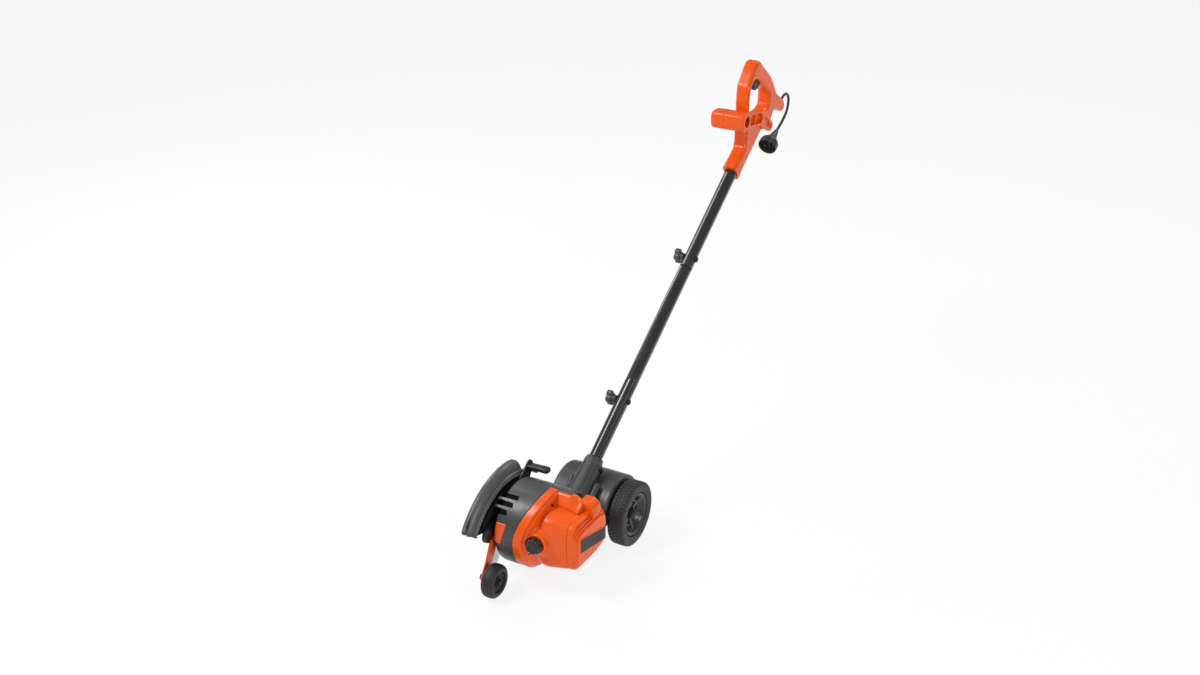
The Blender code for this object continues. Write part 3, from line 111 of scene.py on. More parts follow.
def rounded(points, trim, steps=4, closed=False, shares=False):
    """A polyline whose corners become quadratic arcs, which reach trim along each side and at most half of it."""
    p = np.asarray(points, float)
    back, on = np.roll(p, 1, 0) - p, np.roll(p, -1, 0) - p
    back_length = np.linalg.norm(back, axis=1, keepdims=True)
    on_length = np.linalg.norm(on, axis=1, keepdims=True)
    cut = np.broadcast_to(np.asarray(trim, float), (len(p),))[:, None]
    cut_back = cut * back_length if shares else np.minimum(cut, 0.49 * np.minimum(back_length, on_length))
    cut_on = cut * on_length if shares else cut_back
    start = p + back / np.maximum(back_length, 1e-12) * cut_back
    end = p + on / np.maximum(on_length, 1e-12) * cut_on
    k = np.linspace(0, 1, steps + 1)[None, :, None]
    arcs = (1 - k) ** 2 * start[:, None] + 2 * k * (1 - k) * p[:, None] + k ** 2 * end[:, None]
    if not closed:
        arcs[0], arcs[-1] = p[0], p[-1]
    return arcs.reshape(-1, p.shape[1])


def smooth_loop(points, steps=8):
    """A closed Catmull-Rom curve: a cubic between each two points whose slopes follow their neighbours."""
    p = np.asarray(points, float)
    a, b, c, d = np.roll(p, 1, 0), p, np.roll(p, -1, 0), np.roll(p, -2, 0)
    t = (np.arange(steps) / steps)[None, :, None]
    a, b, c, d = a[:, None], b[:, None], c[:, None], d[:, None]
    curve = 0.5 * (2 * b + (c - a) * t + (2 * a - 5 * b + 4 * c - d) * t ** 2 + (3 * b - a - 3 * c + d) * t ** 3)
    return curve.reshape(-1, p.shape[1])


def smooth_path(points, steps=8):
    """An open Catmull-Rom curve, whose ends run on straight."""
    p = np.asarray(points, float)
    p = np.concatenate([2 * p[:1] - p[1:2], p, 2 * p[-1:] - p[-2:-1]])
    a, b, c, d = (p[i:len(p) - 3 + i][:, None] for i in range(4))
    t = (np.arange(steps) / steps)[None, :, None]
    curve = 0.5 * (2 * b + (c - a) * t + (2 * a - 5 * b + 4 * c - d) * t ** 2 + (3 * b - a - 3 * c + d) * t ** 3)
    return np.concatenate([curve.reshape(-1, p.shape[1]), p[-2:-1]])


def travelled(curve):
    """The way along a curve from its start to each of its points."""
    return np.concatenate([[0.0], np.cumsum(np.linalg.norm(np.diff(curve, axis=0), axis=1))])


def read_at(curve, where, marks=None):
    """A curve read at places along it, which run from 0 to 1 over its points unless these have marks."""
    marks = np.linspace(0, 1, len(curve)) if marks is None else marks
    return np.stack([np.interp(where, marks, curve[:, i]) for i in (0, 1)], axis=1)


def turned_about(centre, x, reach, t):
    """Points at this reach and turn round a line along X, whose centre is given in (Y, Z)."""
    x, reach, t = np.broadcast_arrays(x, reach, t)
    return np.stack([x, centre[0] + reach * np.cos(t), centre[1] + reach * np.sin(t)], axis=-1)


def squareness(t, power):
    """(|cos|^p + |sin|^p)^(1/p), which divides a radius to make a superellipse."""
    return (np.abs(np.cos(t)) ** power + np.abs(np.sin(t)) ** power) ** (1 / power)


def heading_at(turn):
    """The direction at this turn in a plane, and the one a quarter turn further."""
    return np.array((math.cos(turn), math.sin(turn))), np.array((-math.sin(turn), math.cos(turn)))


def circle(centre, radius, count=64, start=0.0, span=360.0):
    """Points at even turns on a circle, or on an arc of it with both ends."""
    whole = span == 360.0
    t = np.radians(start + span * np.arange(count) / (count if whole else count - 1))
    return np.stack([centre[0] + radius * np.cos(t), centre[1] + radius * np.sin(t)], axis=1)


def blob(origin, circles, count=160):
    """The outline of overlapping circles seen from an origin: for each direction the farthest circle's far side."""
    t = np.arange(count) * 2 * np.pi / count
    c = np.asarray(circles, float)
    dx, dy = c[:, 0] - origin[0], c[:, 1] - origin[1]
    ahead = dx[:, None] * np.cos(t) + dy[:, None] * np.sin(t)
    aside = dy[:, None] * np.cos(t) - dx[:, None] * np.sin(t)
    under = c[:, 2][:, None] ** 2 - aside ** 2
    reach = np.where(under > 0, ahead + np.sqrt(np.maximum(under, 0)), 0.0).max(0)
    return np.stack([origin[0] + reach * np.cos(t), origin[1] + reach * np.sin(t)], axis=1)


def links(*ends, count=40):
    """Circles along straight links, each end given as (y, z, radius)."""
    e = np.asarray(ends, float)
    k = np.linspace(0, 1, count)[None, :, None]
    return (e[:-1, None] * (1 - k) + e[1:, None] * k).reshape(-1, 3)


def quads(rows, cols, wrap_rows=False, wrap_cols=False):
    """The four corners of every cell of a grid of points, joined round where it wraps."""
    r = np.arange(rows if wrap_rows else rows - 1)[:, None]
    c = np.arange(cols if wrap_cols else cols - 1)[None, :]
    r1, c1 = (r + 1) % rows, (c + 1) % cols
    return np.stack([r * cols + c, r * cols + c1, r1 * cols + c1, r1 * cols + c], axis=-1).reshape(-1, 4)


def loft(rings, wrap=False):
    """A skin over rings of points. It meets its own start, or each end closes on its middle."""
    if not wrap:
        first = np.broadcast_to(rings[:1].mean(1, keepdims=True), rings[:1].shape)
        last = np.broadcast_to(rings[-1:].mean(1, keepdims=True), rings[-1:].shape)
        rings = np.concatenate([first, rings, last])
    return rings.reshape(-1, 3), [quads(rings.shape[0], rings.shape[1], wrap, True)]


def axes_across(axis):
    """Two directions square to an axis and to each other."""
    axis = unit(np.asarray(axis, float))
    side = X_AXIS if abs(axis[0]) < 0.9 else np.array((0.0, 1.0, 0.0))
    other = unit(np.cross(axis, side))
    return axis, np.cross(other, axis), other


def revolve(profile, at, axis=(1, 0, 0), steps=96, wrap=False, relief=None):
    """Each (radius, height) carried round an axis through at. A relief is added to radius and height over the grid."""
    axis, side, other = axes_across(axis)
    p = np.asarray(profile, float)
    t = np.arange(steps) * 2 * np.pi / steps
    radius, height = np.broadcast_to(p[:, :1], (len(p), steps)), np.broadcast_to(p[:, 1:], (len(p), steps))
    if relief:
        radius, height = relief(radius, height, t[None, :])
    way = np.cos(t)[None, :, None] * side + np.sin(t)[None, :, None] * other
    rings = np.asarray(at, float) + radius[..., None] * way + height[..., None] * axis
    return loft(rings, wrap)


def tube(path, radius, steps=24, normal=(1.0, 0.0, 0.0), flat=1.0):
    """A ring carried along a path that lies square to a normal: across it, and at right angles to the path."""
    p = np.asarray(path, float)
    heading = unit(np.gradient(p, axis=0))
    normal = np.asarray(normal, float)
    other = unit(np.cross(heading, normal))
    t = np.arange(steps) * 2 * np.pi / steps
    reach = np.broadcast_to(np.asarray(radius, float), (len(p),))[:, None, None]
    rings = p[:, None] + reach * (np.cos(t)[None, :, None] * normal * flat + np.sin(t)[None, :, None] * other[:, None])
    return loft(rings)


def counter_clockwise(outline):
    o = np.asarray(outline, float)
    area = np.sum(o[:, 0] * np.roll(o[:, 1], -1) - np.roll(o[:, 0], -1) * o[:, 1])
    return o if area > 0 else o[::-1]


def inset(outline, distance):
    """The outline moved inwards along its own normals, which are square to the line between neighbours."""
    chord = unit(np.roll(outline, -1, 0) - np.roll(outline, 1, 0))
    return outline + np.stack([-chord[:, 1], chord[:, 0]], axis=1) * distance


def stacked(outlines, depths, levels):
    """Outlines in (Y, Z), drawn in by each depth at each level along X: the first a body, the rest holes in it."""
    points, faces, count, face_loops = [], [], 0, [[], []]
    for index, loop in enumerate(outlines):
        loop = counter_clockwise(loop)
        sign = 1.0 if index == 0 else -1.0
        rings = np.stack([inset(loop, d * sign) for d in depths])
        x = np.broadcast_to(levels[:, None, None], (*rings.shape[:2], 1))
        grid = np.concatenate([x, rings], axis=2)
        rows, cols = grid.shape[:2]
        faces.append(quads(rows, cols, False, True) + count)
        for end, row in ((0, 0), (1, rows - 1)):
            face_loops[end].append((grid[row], np.arange(cols) + count + row * cols))
        points.append(grid.reshape(-1, 3))
        count += rows * cols
    for loops in face_loops:
        flat = [[Vector((p[1], p[2], 0.0)) for p in loop] for loop, _ in loops]
        index = np.concatenate([i for _, i in loops])
        faces.append(index[np.array(tessellate_polygon(flat))])
    return np.concatenate(points), faces


def plate(outline, low, high, rim=0.001, steps=4, holes=(), place=None):
    """A flat piece: outlines in (Y, Z) carried from one face to the other, its rims a quarter round."""
    q = np.linspace(0, np.pi / 2, steps + 1)
    inward, lift = rim * (1 - np.sin(q)), rim * (1 - np.cos(q))
    depths, levels = np.concatenate([inward, inward[::-1]]), np.concatenate([low + lift, high - lift[::-1]])
    points, faces = stacked((outline, *holes), depths, levels)
    return (place(points) if place else points), faces


def shell(grid, thickness):
    """A sheet given its thickness: the surface, itself moved back along its normals, and the edges between."""
    along, across = np.gradient(grid, axis=0), np.gradient(grid, axis=1)
    inner = grid - unit(np.cross(along, across)) * thickness
    rings = np.concatenate([grid, inner[:, ::-1]], axis=1)
    rows, cols = rings.shape[:2]
    j = np.arange(cols // 2 - 1)
    end = np.stack([j, j + 1, cols - 2 - j, cols - 1 - j], axis=1)
    return rings.reshape(-1, 3), [quads(rows, cols, False, True), end, end + (rows - 1) * cols]


def block(low, high, rim, tilt=0.0):
    """A box with round edges, turned about X through its middle: a rounded rectangle between two rimmed faces."""
    low, high = np.asarray(low, float), np.asarray(high, float)
    middle = (low + high) / 2
    corners = [(low[1], low[2]), (high[1], low[2]), (high[1], high[2]), (low[1], high[2])]
    outline = rounded(corners, rim, 5, True)
    c, s = math.cos(math.radians(tilt)), math.sin(math.radians(tilt))

    def place(p):
        q = p - middle
        return np.stack([q[:, 0], q[:, 1] * c - q[:, 2] * s, q[:, 1] * s + q[:, 2] * c], axis=1) + middle

    return plate(outline, low[0], high[0], rim * 0.9, 4, place=place)


def section(t, x, y, z, half, power, rise, wide):
    """Superellipse sections of a housing, half / (|cos|^p + |sin|^p)^(1/p), whose tops lean back by rise."""
    reach = half / squareness(t, power)
    lean = rise * np.maximum(np.sin(t), 0.0) ** 1.6
    return np.stack([x + lean, y + wide * reach * np.cos(t), z + reach * np.sin(t)], axis=-1)


def sections(stations, count=192, shares=0.35, steps=5, extra=()):
    """Housing sections at each station, the stations themselves rounded into each other as a seven-part polyline."""
    s = rounded(stations, shares, steps, shares=True)
    t = np.unique(np.concatenate([np.arange(count) * 2 * np.pi / count, np.asarray(extra, float) % (2 * np.pi)]))
    return section(t[None, :], *(s[:, i][:, None] for i in range(7)))


def rod(radius, length):
    """A plain cylinder's outline, for revolve."""
    return [(0.0, 0.0), (radius, 0.0), (radius, length), (0.0, length)]


def dome(at, axis, radius, height, steps=48, lip=0.0006):
    """A low round cap: a quarter ellipse turned about its axis, on a short lip."""
    q = np.linspace(0, np.pi / 2, 9)
    curve = np.stack([radius * np.cos(q), lip + (height - lip) * np.sin(q)], axis=1)
    return revolve(np.concatenate([[(0.0, 0.0), (radius, 0.0)], curve]), at, axis, steps)


def mesh_of(name, parts, angle=32.0):
    """One mesh from (points, faces) parts: welded where they meet, normals turned outwards, sharp above an angle."""
    points, faces, count = [], [], 0
    for part_points, part_faces in parts:
        faces += [row for block_of in part_faces for row in (block_of + count).tolist()]
        points.append(part_points)
        count += len(part_points)
    mesh = bpy.data.meshes.new(name)
    mesh.from_pydata((np.concatenate(points) + SHIFT).tolist(), [], faces)
    work = bmesh.new()
    work.from_mesh(mesh)
    bmesh.ops.remove_doubles(work, verts=work.verts, dist=0.0000015)
    bmesh.ops.dissolve_degenerate(work, dist=0.0000005, edges=work.edges)
    bmesh.ops.recalc_face_normals(work, faces=work.faces)
    work.to_mesh(mesh)
    work.free()
    mesh.shade_smooth()
    mesh.set_sharp_from_angle(angle=math.radians(angle))
    return mesh


def piece(name, parts, body, look, stands_for=(), angle=32.0):
    """An object from (points, faces) parts in its finish, riding on a body and standing for CAD nodes."""
    mesh = parts if isinstance(parts, bpy.types.Mesh) else mesh_of(name, parts, angle)
    obj = bpy.data.objects.new(name, mesh)
    bpy.context.scene.collection.objects.link(obj)
    mesh.materials.clear()
    mesh.materials.append(LOOKS[look]())
    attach(obj, body)
    if stands_for:
        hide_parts(*stands_for)
    return obj


def carved(name, parts, cutters, angle=32.0):
    """A mesh with others taken out of it. Each cutter is a list of parts, and the result keeps no modifier."""
    base = bpy.data.objects.new(name, mesh_of(name, parts, angle))
    bpy.context.scene.collection.objects.link(base)
    tools = []
    for index, cutter in enumerate(cutters):
        tool = bpy.data.objects.new(f"{name}_cutter_{index}", mesh_of(f"{name}_cutter_{index}", cutter, angle))
        bpy.context.scene.collection.objects.link(tool)
        step = base.modifiers.new(f"cut_{index}", "BOOLEAN")
        step.operation, step.solver, step.object = "DIFFERENCE", "EXACT", tool
        tools.append(tool)
    bpy.context.view_layer.update()
    mesh = bpy.data.meshes.new_from_object(base.evaluated_get(bpy.context.evaluated_depsgraph_get()))
    for obj in (base, *tools):
        bpy.data.objects.remove(obj, do_unlink=True)
    mesh.name = name
    mesh.shade_smooth()
    mesh.set_sharp_from_angle(angle=math.radians(angle))
    return mesh


class Wire:
    """A shader value. Arithmetic on it adds Math nodes, so 1 - mask * 0.5 reads as it would on numbers."""

    def __init__(self, finish, socket):
        self.finish, self.socket = finish, socket

    def math(self, operation, other, turned=False):
        pair = (other, self) if turned else (self, other)
        return self.finish.add("ShaderNodeMath", {"operation": operation}, {0: pair[0], 1: pair[1]})

    def __add__(self, other):
        return self.math("ADD", other)

    def __sub__(self, other):
        return self.math("SUBTRACT", other)

    def __rsub__(self, other):
        return self.math("SUBTRACT", other, True)

    def __mul__(self, other):
        return self.math("MULTIPLY", other)

    def __truediv__(self, other):
        return self.math("DIVIDE", other)

    def __rtruediv__(self, other):
        return self.math("DIVIDE", other, True)

    def __pow__(self, other):
        return self.math("POWER", other)

    __radd__, __rmul__ = __add__, __mul__

    def step(self, low, high):
        """0 at low and 1 at high, clamped, with an eased slope."""
        settings = {"interpolation_type": "SMOOTHSTEP"}
        return self.finish.add("ShaderNodeMapRange", settings, {"Value": self, "From Min": low, "From Max": high})


class Finish:
    """A material being made: its nodes come from add, and its surface from surface."""

    def __init__(self, name):
        self.material = bpy.data.materials.new(name)
        self.material.use_nodes = True
        self.tree = self.material.node_tree
        self.shader = self.tree.nodes["Principled BSDF"]

    def add(self, kind, settings=None, inputs=None, output=0):
        """A node of this kind: settings, or its ramp's stops, go on first, then values or links on its sockets."""
        node = self.tree.nodes.new(kind)
        for key, value in (settings or {}).items():
            if key == "stops":
                for element, (position, rgb) in zip(node.color_ramp.elements, value):
                    element.position, element.color = position, (*rgb, 1.0)
            else:
                setattr(node, key, value)
        for key, value in (inputs or {}).items():
            if isinstance(value, Wire):
                self.tree.links.new(value.socket, node.inputs[key])
            else:
                node.inputs[key].default_value = value
        return Wire(self, node.outputs[output])

    def place(self, scale=(1.0, 1.0, 1.0), turn=(0.0, 0.0, 0.0), at=(0.0, 0.0, 0.0)):
        """Object coordinates, moved, turned and scaled."""
        where = self.add("ShaderNodeTexCoord", output=3)
        return self.add("ShaderNodeMapping", None, {"Vector": where, "Location": at, "Rotation": turn, "Scale": scale})

    def noise(self, scale, detail=4.0, rough=0.55, where=None):
        where = where or self.place()
        return self.add("ShaderNodeTexNoise", None,
                        {"Vector": where, "Scale": scale, "Detail": detail, "Roughness": rough})

    def cells(self, scale, where=None, feature="F1"):
        where = where or self.place()
        return self.add("ShaderNodeTexVoronoi", {"feature": feature}, {"Vector": where, "Scale": scale})

    def blend(self, factor, first, second, kind="MIX"):
        """Two colours mixed by a factor."""
        node = self.tree.nodes.new("ShaderNodeMix")
        node.data_type, node.blend_type = "RGBA", kind
        for key, value in (("Factor_Float", factor), ("A_Color", first), ("B_Color", second)):
            socket = next(s for s in node.inputs if s.identifier == key)
            if isinstance(value, Wire):
                self.tree.links.new(value.socket, socket)
            elif isinstance(value, (tuple, list)):
                socket.default_value = (*value[:3], 1.0)
            else:
                socket.default_value = value
        return Wire(self, next(s for s in node.outputs if s.identifier == "Result_Color"))

    def surface(self, values, height=None, strength=0.3, reach=0.0002):
        """Values or links on the shader's sockets, and a height through a Bump node on its normal."""
        for key, value in values.items():
            if isinstance(value, Wire):
                self.tree.links.new(value.socket, self.shader.inputs[key])
            else:
                fits = (*value, 1.0) if isinstance(value, tuple) and len(value) == 3 else value
                self.shader.inputs[key].default_value = fits
        if height is not None:
            bump = self.add("ShaderNodeBump", None, {"Height": height, "Strength": strength, "Distance": reach})
            self.tree.links.new(bump.socket, self.shader.inputs["Normal"])
        return self.material


def shade(rgb, factor):
    return tuple(c * factor for c in rgb)


def once(make):
    """The material that a maker gives, made the first time only."""
    kept = []

    def give():
        if not kept:
            kept.append(make())
        return kept[0]

    return give


def moulded(name, rgb, rough, grain, depth, coat=0.0, mottle=0.10, shine=0.5):
    """Injection-moulded plastic: a fine spark-eroded grain, faint flow mottling and handling marks in its gloss."""
    def make():
        f = Finish(name)
        flow = f.noise(9.0, 3.0)
        dust = f.noise(60.0, 5.0, 0.65)
        rub = f.noise(26.0, 4.0, 0.7, f.place((1.0, 1.0, 0.35)))
        colour = f.blend(flow.step(0.35, 0.68) * mottle * 4, shade(rgb, 1 - mottle * 0.5), shade(rgb, 1 + mottle))
        colour = f.blend(dust.step(0.60, 0.78) * 0.10, colour, shade(rgb, 1.0 + 2.2 * mottle))
        texture = f.cells(grain, feature="SMOOTH_F1") * 0.6 + f.noise(grain * 1.7, 2.0) * 0.4
        gloss = rub.step(0.38, 0.70) * 0.12 + dust * 0.06 + (rough - 0.08)
        return f.surface({"Base Color": colour, "Roughness": gloss, "Coat Weight": coat, "Coat Roughness": 0.18,
                          "Specular IOR Level": shine}, texture, 0.35, depth)
    return once(make)


@once
def orange_look():
    """Glossy orange housing: a very fine orange-peel skin, with slightly duller, darker patches where it is held."""
    rgb = tuple(bpy.context.scene.edger_colours.orange)
    f = Finish("gloss_orange")
    flow = f.noise(7.0, 3.0)
    peel = f.noise(420.0, 2.0) * 0.7 + f.noise(1300.0, 1.0) * 0.3
    haze = f.noise(38.0, 4.0, 0.62)
    warm = tuple(np.minimum(np.multiply(rgb, (1.03, 1.10, 1.3)), 1))
    colour = f.blend(flow.step(0.34, 0.70), shade(rgb, 0.93), warm)
    colour = f.blend(haze.step(0.58, 0.80) * 0.06, colour, (0.90, 0.30, 0.10))
    gloss = haze.step(0.35, 0.72) * 0.10 + 0.25
    return f.surface({"Base Color": colour, "Roughness": gloss, "Coat Weight": 0.05, "Coat Roughness": 0.12,
                      "Specular IOR Level": 0.30}, peel, 0.22, 0.00010)


@once
def painted_look():
    """Orange stoved paint on steel strip: a harder gloss, a trace of rolled texture under it, and worn corners."""
    rgb = tuple(bpy.context.scene.edger_colours.orange)
    f = Finish("orange_paint")
    rolled = f.noise(240.0, 3.0, 0.5, f.place((1.0, 1.0, 0.18)))
    wear = f.noise(95.0, 6.0, 0.7)
    colour = f.blend(f.noise(14.0).step(0.35, 0.7), shade(rgb, 0.86), rgb)
    colour = f.blend(wear.step(0.70, 0.76) * 0.7, colour, (0.10, 0.09, 0.085))
    return f.surface({"Base Color": colour, "Roughness": wear * 0.2 + 0.22, "Coat Weight": 0.3,
                      "Coat Roughness": 0.1}, rolled, 0.25, 0.00008)


@once
def tyre_look():
    """Moulded black tyre compound: dull, finely pitted, greyer with dust where it has rolled."""
    rgb = tuple(bpy.context.scene.edger_colours.tyre)
    f = Finish("tyre_compound")
    pits = f.noise(700.0, 3.0, 0.6) * 0.6 + f.cells(420.0) * 0.4
    dust = f.noise(34.0, 6.0, 0.68)
    streak = f.noise(18.0, 4.0, 0.6, f.place((2.6, 0.5, 0.5)))
    colour = f.blend(streak.step(0.36, 0.72), shade(rgb, 0.72), shade(rgb, 1.35))
    colour = f.blend(dust.step(0.55, 0.80) * 0.30, colour, (0.085, 0.080, 0.076))
    return f.surface({"Base Color": colour, "Roughness": dust * 0.25 + 0.42, "Specular IOR Level": 0.45},
                     pits, 0.5, 0.00022)


@once
def tube_look():
    """Black lacquered tube: glossy, with the long faint draw lines of the tube showing through the coat."""
    f = Finish("tube_lacquer")
    lean = (-POLE_ANGLE, 0.0, 0.0)
    drawn = f.noise(130.0, 4.0, 0.6, f.place((1.0, 0.02, 1.0), lean))
    flow = f.noise(20.0, 3.0)
    colour = f.blend(flow.step(0.35, 0.7), (0.010, 0.010, 0.010), (0.019, 0.018, 0.018))
    colour = f.blend(drawn.step(0.62, 0.78) * 0.20, colour, (0.055, 0.053, 0.050))
    return f.surface({"Base Color": colour, "Roughness": drawn * 0.12 + 0.17, "Coat Weight": 0.5,
                      "Coat Roughness": 0.06, "Specular IOR Level": 0.55}, drawn, 0.16, 0.00006)


def metal(name, rgb, rough, lines=(1.0, 1.0, 1.0), scale=220.0, tint=0.75):
    """Bare or plated metal: a directional finish in gloss and bump, with a patchy tarnish in its colour."""
    def make():
        f = Finish(name)
        marks = f.noise(scale, 4.0, 0.6, f.place(lines))
        patch = f.noise(45.0, 5.0, 0.6)
        colour = f.blend(patch.step(0.40, 0.75), rgb, shade(rgb, tint))
        return f.surface({"Base Color": colour, "Metallic": 1.0, "Roughness": marks * 0.22 + (rough - 0.08)},
                         marks, 0.25, 0.00005)
    return once(make)


@once
def winding_look():
    """Enamelled copper wire wound in layers: close fine ridges, and a colour that runs darker in the valleys between
    them.
    """
    f = Finish("copper_winding")
    lay = f.add("ShaderNodeTexWave", {"bands_direction": "X"},
                {"Vector": f.place(), "Scale": 420.0, "Distortion": 1.5, "Detail": 2.0})
    colour = f.blend(lay, (0.30, 0.10, 0.035), (0.80, 0.36, 0.16))
    return f.surface({"Base Color": colour, "Metallic": 1.0, "Roughness": lay * 0.1 + 0.25}, lay, 0.6, 0.0002)


@once
def cord_look():
    """Soft cord sheath: matt black, with faint rings from the extruder and a slightly greyed outer face."""
    f = Finish("cord_sheath")
    fine = f.noise(500.0, 4.0)
    bloom = f.noise(30.0, 4.0)
    colour = f.blend(bloom.step(0.40, 0.72), (0.010, 0.010, 0.010), (0.026, 0.025, 0.025))
    return f.surface({"Base Color": colour, "Roughness": bloom * 0.12 + 0.36, "Specular IOR Level": 0.5},
                     fine, 0.25, 0.00010)


@once
def label_look():
    """Plain vinyl label: flat orange film with a soft sheen and a trace of the grain it is stuck on."""
    f = Finish("plain_label")
    under = f.noise(600.0, 2.0)
    tone = f.noise(50.0, 3.0)
    rgb = tuple(bpy.context.scene.edger_colours.orange)
    colour = f.blend(tone.step(0.38, 0.70), shade(rgb, 0.88), rgb)
    return f.surface({"Base Color": colour, "Roughness": tone * 0.1 + 0.33}, under, 0.18, 0.00006)


LOOKS = {}


def make_looks():
    colours = bpy.context.scene.edger_colours
    LOOKS.update({
        "orange": orange_look, "paint": painted_look, "tyre": tyre_look, "tube": tube_look,
        "cord": cord_look, "label": label_look, "winding": winding_look,
        "dark": moulded("charcoal_housing", tuple(colours.housing), 0.40, 520.0, 0.00016),
        "deck": moulded("charcoal_deck", tuple(colours.deck), 0.42, 460.0, 0.00020),
        "hood": moulded("charcoal_hood", tuple(colours.hood), 0.37, 520.0, 0.00016, 0.05, 0.12),
        # near-black, dull colour for the sheet under the vent slots: painted shade inside the vents
        "void": moulded("vent_painted_shade", (0.0035, 0.0035, 0.0036), 0.75, 300.0, 0.00010, shine=0.1),
        "panel": moulded("panel_black", (0.0060, 0.0060, 0.0064), 0.36, 700.0, 0.00005, shine=0.25),
        "plug": moulded("plug_rubber", (0.032, 0.031, 0.031), 0.40, 560.0, 0.00012),
        "nickel": metal("dull_nickel", (0.16, 0.15, 0.14), 0.45),
        # a lighter copy of the housing's charcoal for the louvre bars: painted highlight where light falls on them
        "louvre": moulded("charcoal_louvre_painted_highlight", (0.100, 0.098, 0.096), 0.36, 520.0, 0.00010),
        "black": moulded("black_plastic", (0.014, 0.014, 0.015), 0.44, 620.0, 0.00012),
        "hub": moulded("black_hub", (0.026, 0.025, 0.025), 0.27, 700.0, 0.00008),
        "steel": metal("zinc_plate", (0.60, 0.60, 0.61), 0.32),
        "dark_steel": metal("black_oxide", (0.045, 0.044, 0.043), 0.40),
        "ground": metal("ground_steel", (0.56, 0.57, 0.58), 0.26, (1.0, 0.12, 1.0), 260.0),
        "cast": metal("die_casting", (0.52, 0.53, 0.54), 0.48, scale=320.0),
        "laminate": metal("core_laminations", (0.30, 0.30, 0.31), 0.42, (6.0, 0.3, 0.3), 300.0),
        "copper": metal("copper_bars", (0.80, 0.42, 0.24), 0.30),
        "brass": metal("brass", (0.78, 0.58, 0.26), 0.28),
    })


CORD_D = 0.0064
GLAND_AT, GLAND_RISE, GLAND_LENGTH = np.array((POLE_X, 0.8900, 0.6955)), math.radians(30.0), 0.0215
GLAND_AXIS = np.array((0.0, math.cos(GLAND_RISE), math.sin(GLAND_RISE)))
CORD_ROUTE = [(0.9310, 0.7145), (0.9435, 0.7115), (0.9527, 0.7025), (0.9556, 0.6890), (0.9498, 0.6715),
              (0.9345, 0.6565), (0.9110, 0.6430), (0.8900, 0.6338)]
PLUG_R, PLUG_LENGTH, PLUG_RECESS = 0.0230, 0.058, 0.016


def cord_path():
    """The cord's middle line: straight on out of the strain relief, over in a hook, and down to the plug."""
    start = [GLAND_AT + GLAND_AXIS * (GLAND_LENGTH + SEAT), GLAND_AT + GLAND_AXIS * (GLAND_LENGTH + 0.009)]
    return smooth_path(start + [np.array((POLE_X, y, z)) for y, z in CORD_ROUTE], 8)


def build_cord():
    route = cord_path()
    cord = piece("cord", [tube(route, CORD_D / 2, 28)], "body", "cord", ["power_cord"])
    radius = CORD_D / 2
    relief = rounded([(0.0, GLAND_LENGTH), (radius + 0.0006, GLAND_LENGTH), (radius + 0.0011, GLAND_LENGTH - 0.003),
                      (0.0049, 0.0135), (0.0054, 0.0125), (0.0054, 0.0), (0.0, 0.0)], 0.0005, 3)
    stations = np.array((0.0150, 0.0172, 0.0194))

    def slots(r, h, t):
        ring = sum(window(h, s, 0.0003, 0.0003) for s in stations)
        return r - 0.0006 * ring * (r > 0.002), h

    fine = read_at(relief, np.linspace(0, 1, 70))
    piece("strain_relief", [revolve(fine, GLAND_AT, GLAND_AXIS, 48, relief=slots)], "body", "black", ["cord_gland"])
    aim = unit(route[-1] - np.array((POLE_X, *CORD_ROUTE[-2])))
    foot, size = route[-1] + aim * SEAT, PLUG_LENGTH
    profile = rounded([(0.0, size - PLUG_RECESS), (PLUG_R - 0.0028, size - PLUG_RECESS), (PLUG_R - 0.0024, size),
                       (PLUG_R - 0.0002, size), (PLUG_R, size - 0.013), (PLUG_R - 0.0016, size - 0.0175),
                       (0.0165, size - 0.0240), (0.0122, size - 0.0310), (0.0100, size - 0.0345), (0.0078, 0.014),
                       (0.0056, 0.0008), (0.0046, 0.0), (0.0, 0.0)],
                      [0, 0.001, 0.0007, 0.0007, 0.002, 0.003, 0.004, 0.002, 0.002, 0.003, 0.0006, 0.0004, 0], 5)
    fine = read_at(profile, np.linspace(0, 1, 160))

    def grips(r, h, t):
        """Eight finger flutes round the cone, each a raised cosine, and three rings on the neck."""
        flute = 0.0010 * window(h, size - 0.026, 0.005, 0.004) * (0.5 - 0.5 * np.cos(8 * t)) ** 2
        ring = sum(window(h, s, 0.0004, 0.0005) for s in (0.006, 0.0095, 0.013))
        return r - (flute + 0.0007 * ring) * (r > 0.003), h

    plug = piece("plug", [revolve(fine, foot, aim, 144, relief=grips)], "body", "plug", ["plug_body"], angle=40.0)


